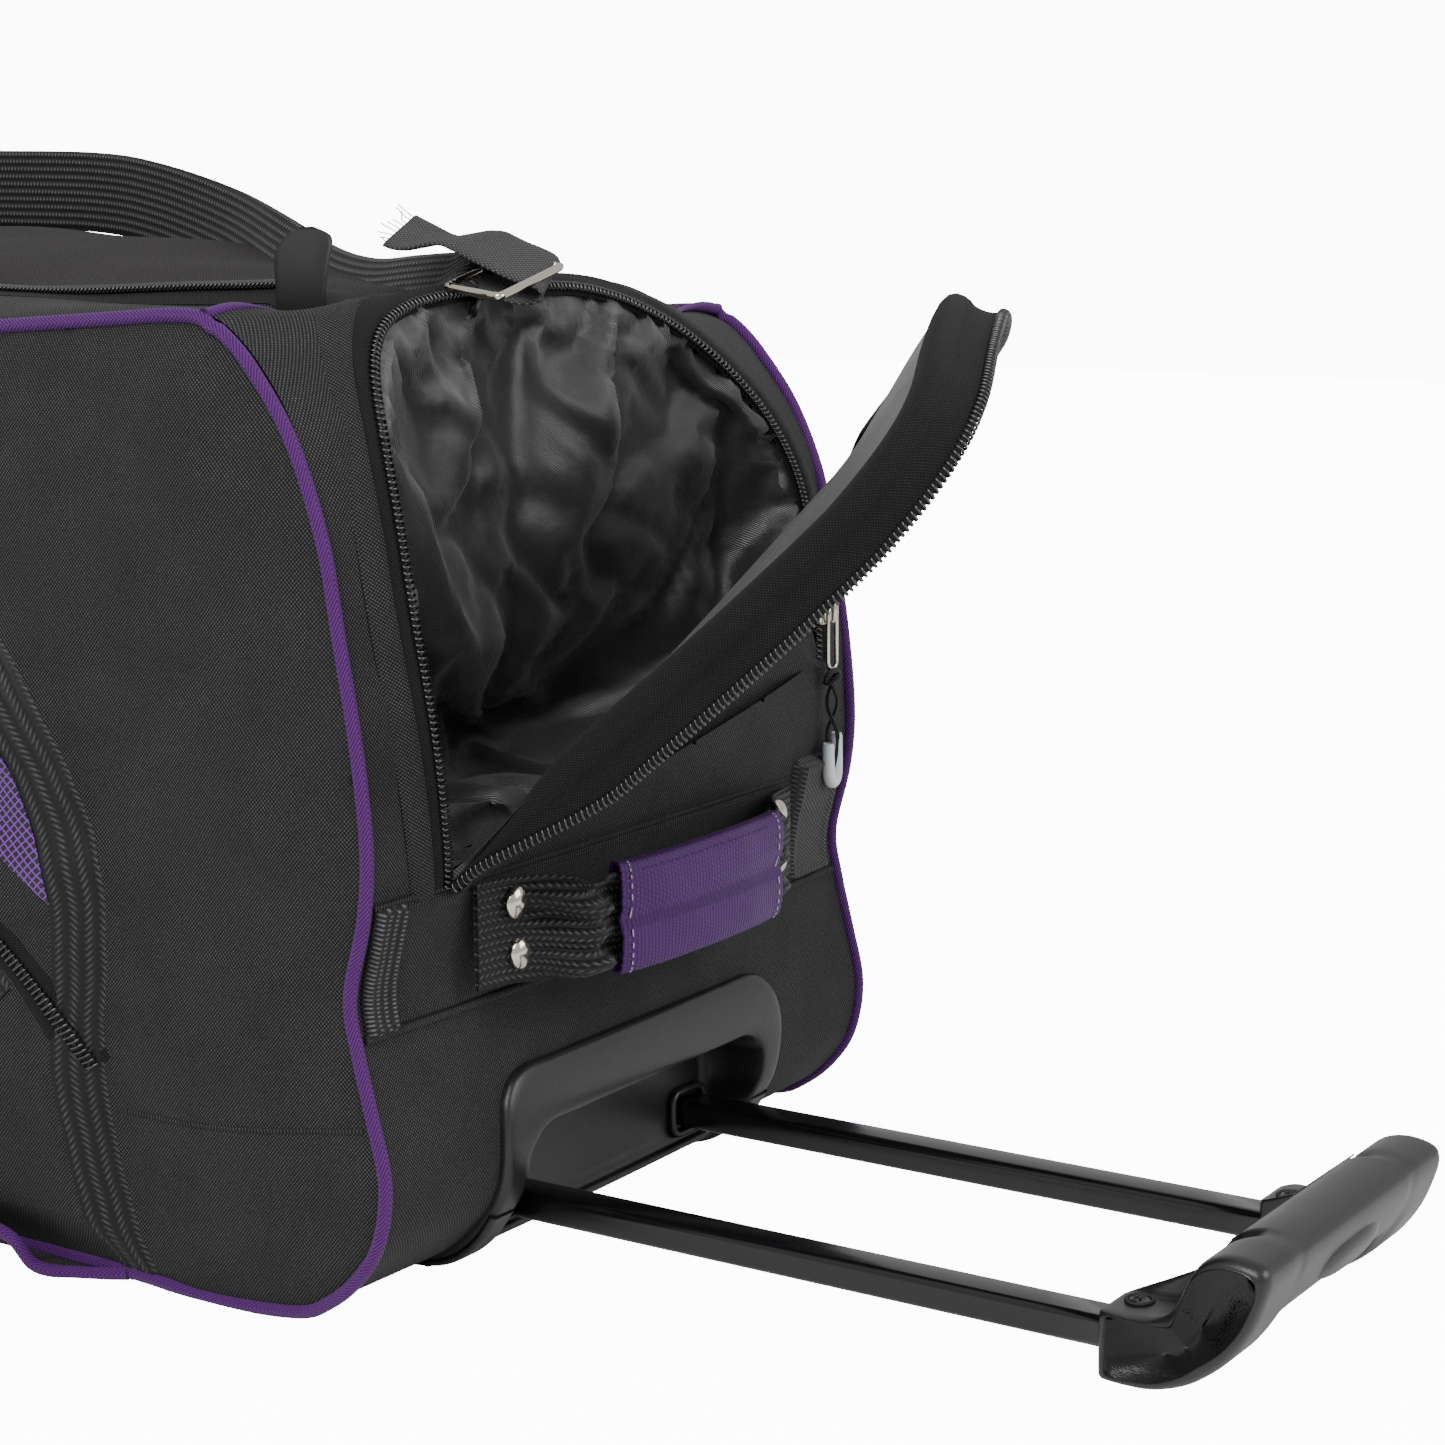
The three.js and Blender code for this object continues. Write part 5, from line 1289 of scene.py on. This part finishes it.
# ---------------------------------------------------------------- floor, light and camera
floor_mat = material("studio_floor", (0.9, 0.9, 0.9), 0.6, Emission_Color=(1, 1, 1, 1))
g = Nodes(floor_mat)
path_node = g.node("ShaderNodeLightPath")
g.link(g.math("MULTIPLY", path_node.outputs["Is Camera Ray"], 12.0), g.bsdf.inputs["Emission Strength"])
me = bpy.data.meshes.new("floor")
me.from_pydata([(-4, -4, 0), (4, -4, 0), (4, 4, 0), (-4, 4, 0)], [], [(0, 1, 2, 3)])
floor = bpy.data.objects.new("floor", me)
bpy.context.scene.collection.objects.link(floor)
me.materials.append(floor_mat)

world = bpy.data.worlds.new("studio")
bpy.context.scene.world = world
world.use_nodes = True
tree = world.node_tree
lit = tree.nodes["Background"]
lit.inputs[0].default_value, lit.inputs[1].default_value = (1, 1, 1, 1), 0.75
seen = tree.nodes.new("ShaderNodeBackground")
seen.inputs[1].default_value = 14.0
rays, both = tree.nodes.new("ShaderNodeLightPath"), tree.nodes.new("ShaderNodeMixShader")
tree.links.new(rays.outputs["Is Camera Ray"], both.inputs[0])
tree.links.new(lit.outputs[0], both.inputs[1])
tree.links.new(seen.outputs[0], both.inputs[2])
tree.links.new(both.outputs[0], tree.nodes["World Output"].inputs[0])


def area(name, at, to, size, watts):
    d = bpy.data.lights.new(name, "AREA")
    d.shape, d.size, d.size_y, d.energy = "RECTANGLE", size[0], size[1], watts
    o = bpy.data.objects.new(name, d)
    bpy.context.scene.collection.objects.link(o)
    o.location = at
    o.rotation_euler = (Vector(to) - Vector(at)).to_track_quat("-Z", "Y").to_euler()
    return o


area("key", (0.6, -1.6, 1.9), (0.1, 0, 0.2), (1.4, 1.4), 45)
area("side", (2.2, 0.6, 1.2), (0.2, 0, 0.2), (1.2, 1.2), 22)

a, p, r = math.radians(33.4728), math.radians(10.5364), math.radians(-0.4563)
fwd = Vector((-math.sin(a) * math.cos(p), math.cos(a) * math.cos(p), -math.sin(p)))
right = Vector((math.cos(a), math.sin(a), 0))
upv = right.cross(fwd)
r2, u2 = right * math.cos(r) + upv * math.sin(r), -right * math.sin(r) + upv * math.cos(r)
cam = bpy.data.objects.new("camera", bpy.data.cameras.new("camera"))
bpy.context.scene.collection.objects.link(cam)
cam.data.lens, cam.data.sensor_width = 78.5, 36
cam.data.clip_start, cam.data.clip_end = 0.05, 50
cam.matrix_world = Matrix(((r2.x, u2.x, -fwd.x, 0.92392), (r2.y, u2.y, -fwd.y, -0.93508),
    (r2.z, u2.z, -fwd.z, 0.40258), (0, 0, 0, 1)))
bpy.context.scene.camera = cam

for node, mat in (
    ("wheel_tray", PLASTIC), ("tube_foot", PLASTIC), ("wheel_hub_near", PLASTIC), ("wheel_hub_far", PLASTIC),
    ("wheel_tyre_near", RUBBER), ("wheel_tyre_far", RUBBER), ("base_board", BOARD), ("axle_near", STEEL),
    ("axle_far", STEEL),
    ("lock_pin_near", STEEL), ("lock_pin_far", STEEL), ("button_yoke", WHITE), ("front_pocket_slider", STEEL),
):
    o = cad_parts[node]
    o.data.materials.clear()
    o.data.materials.append(mat)
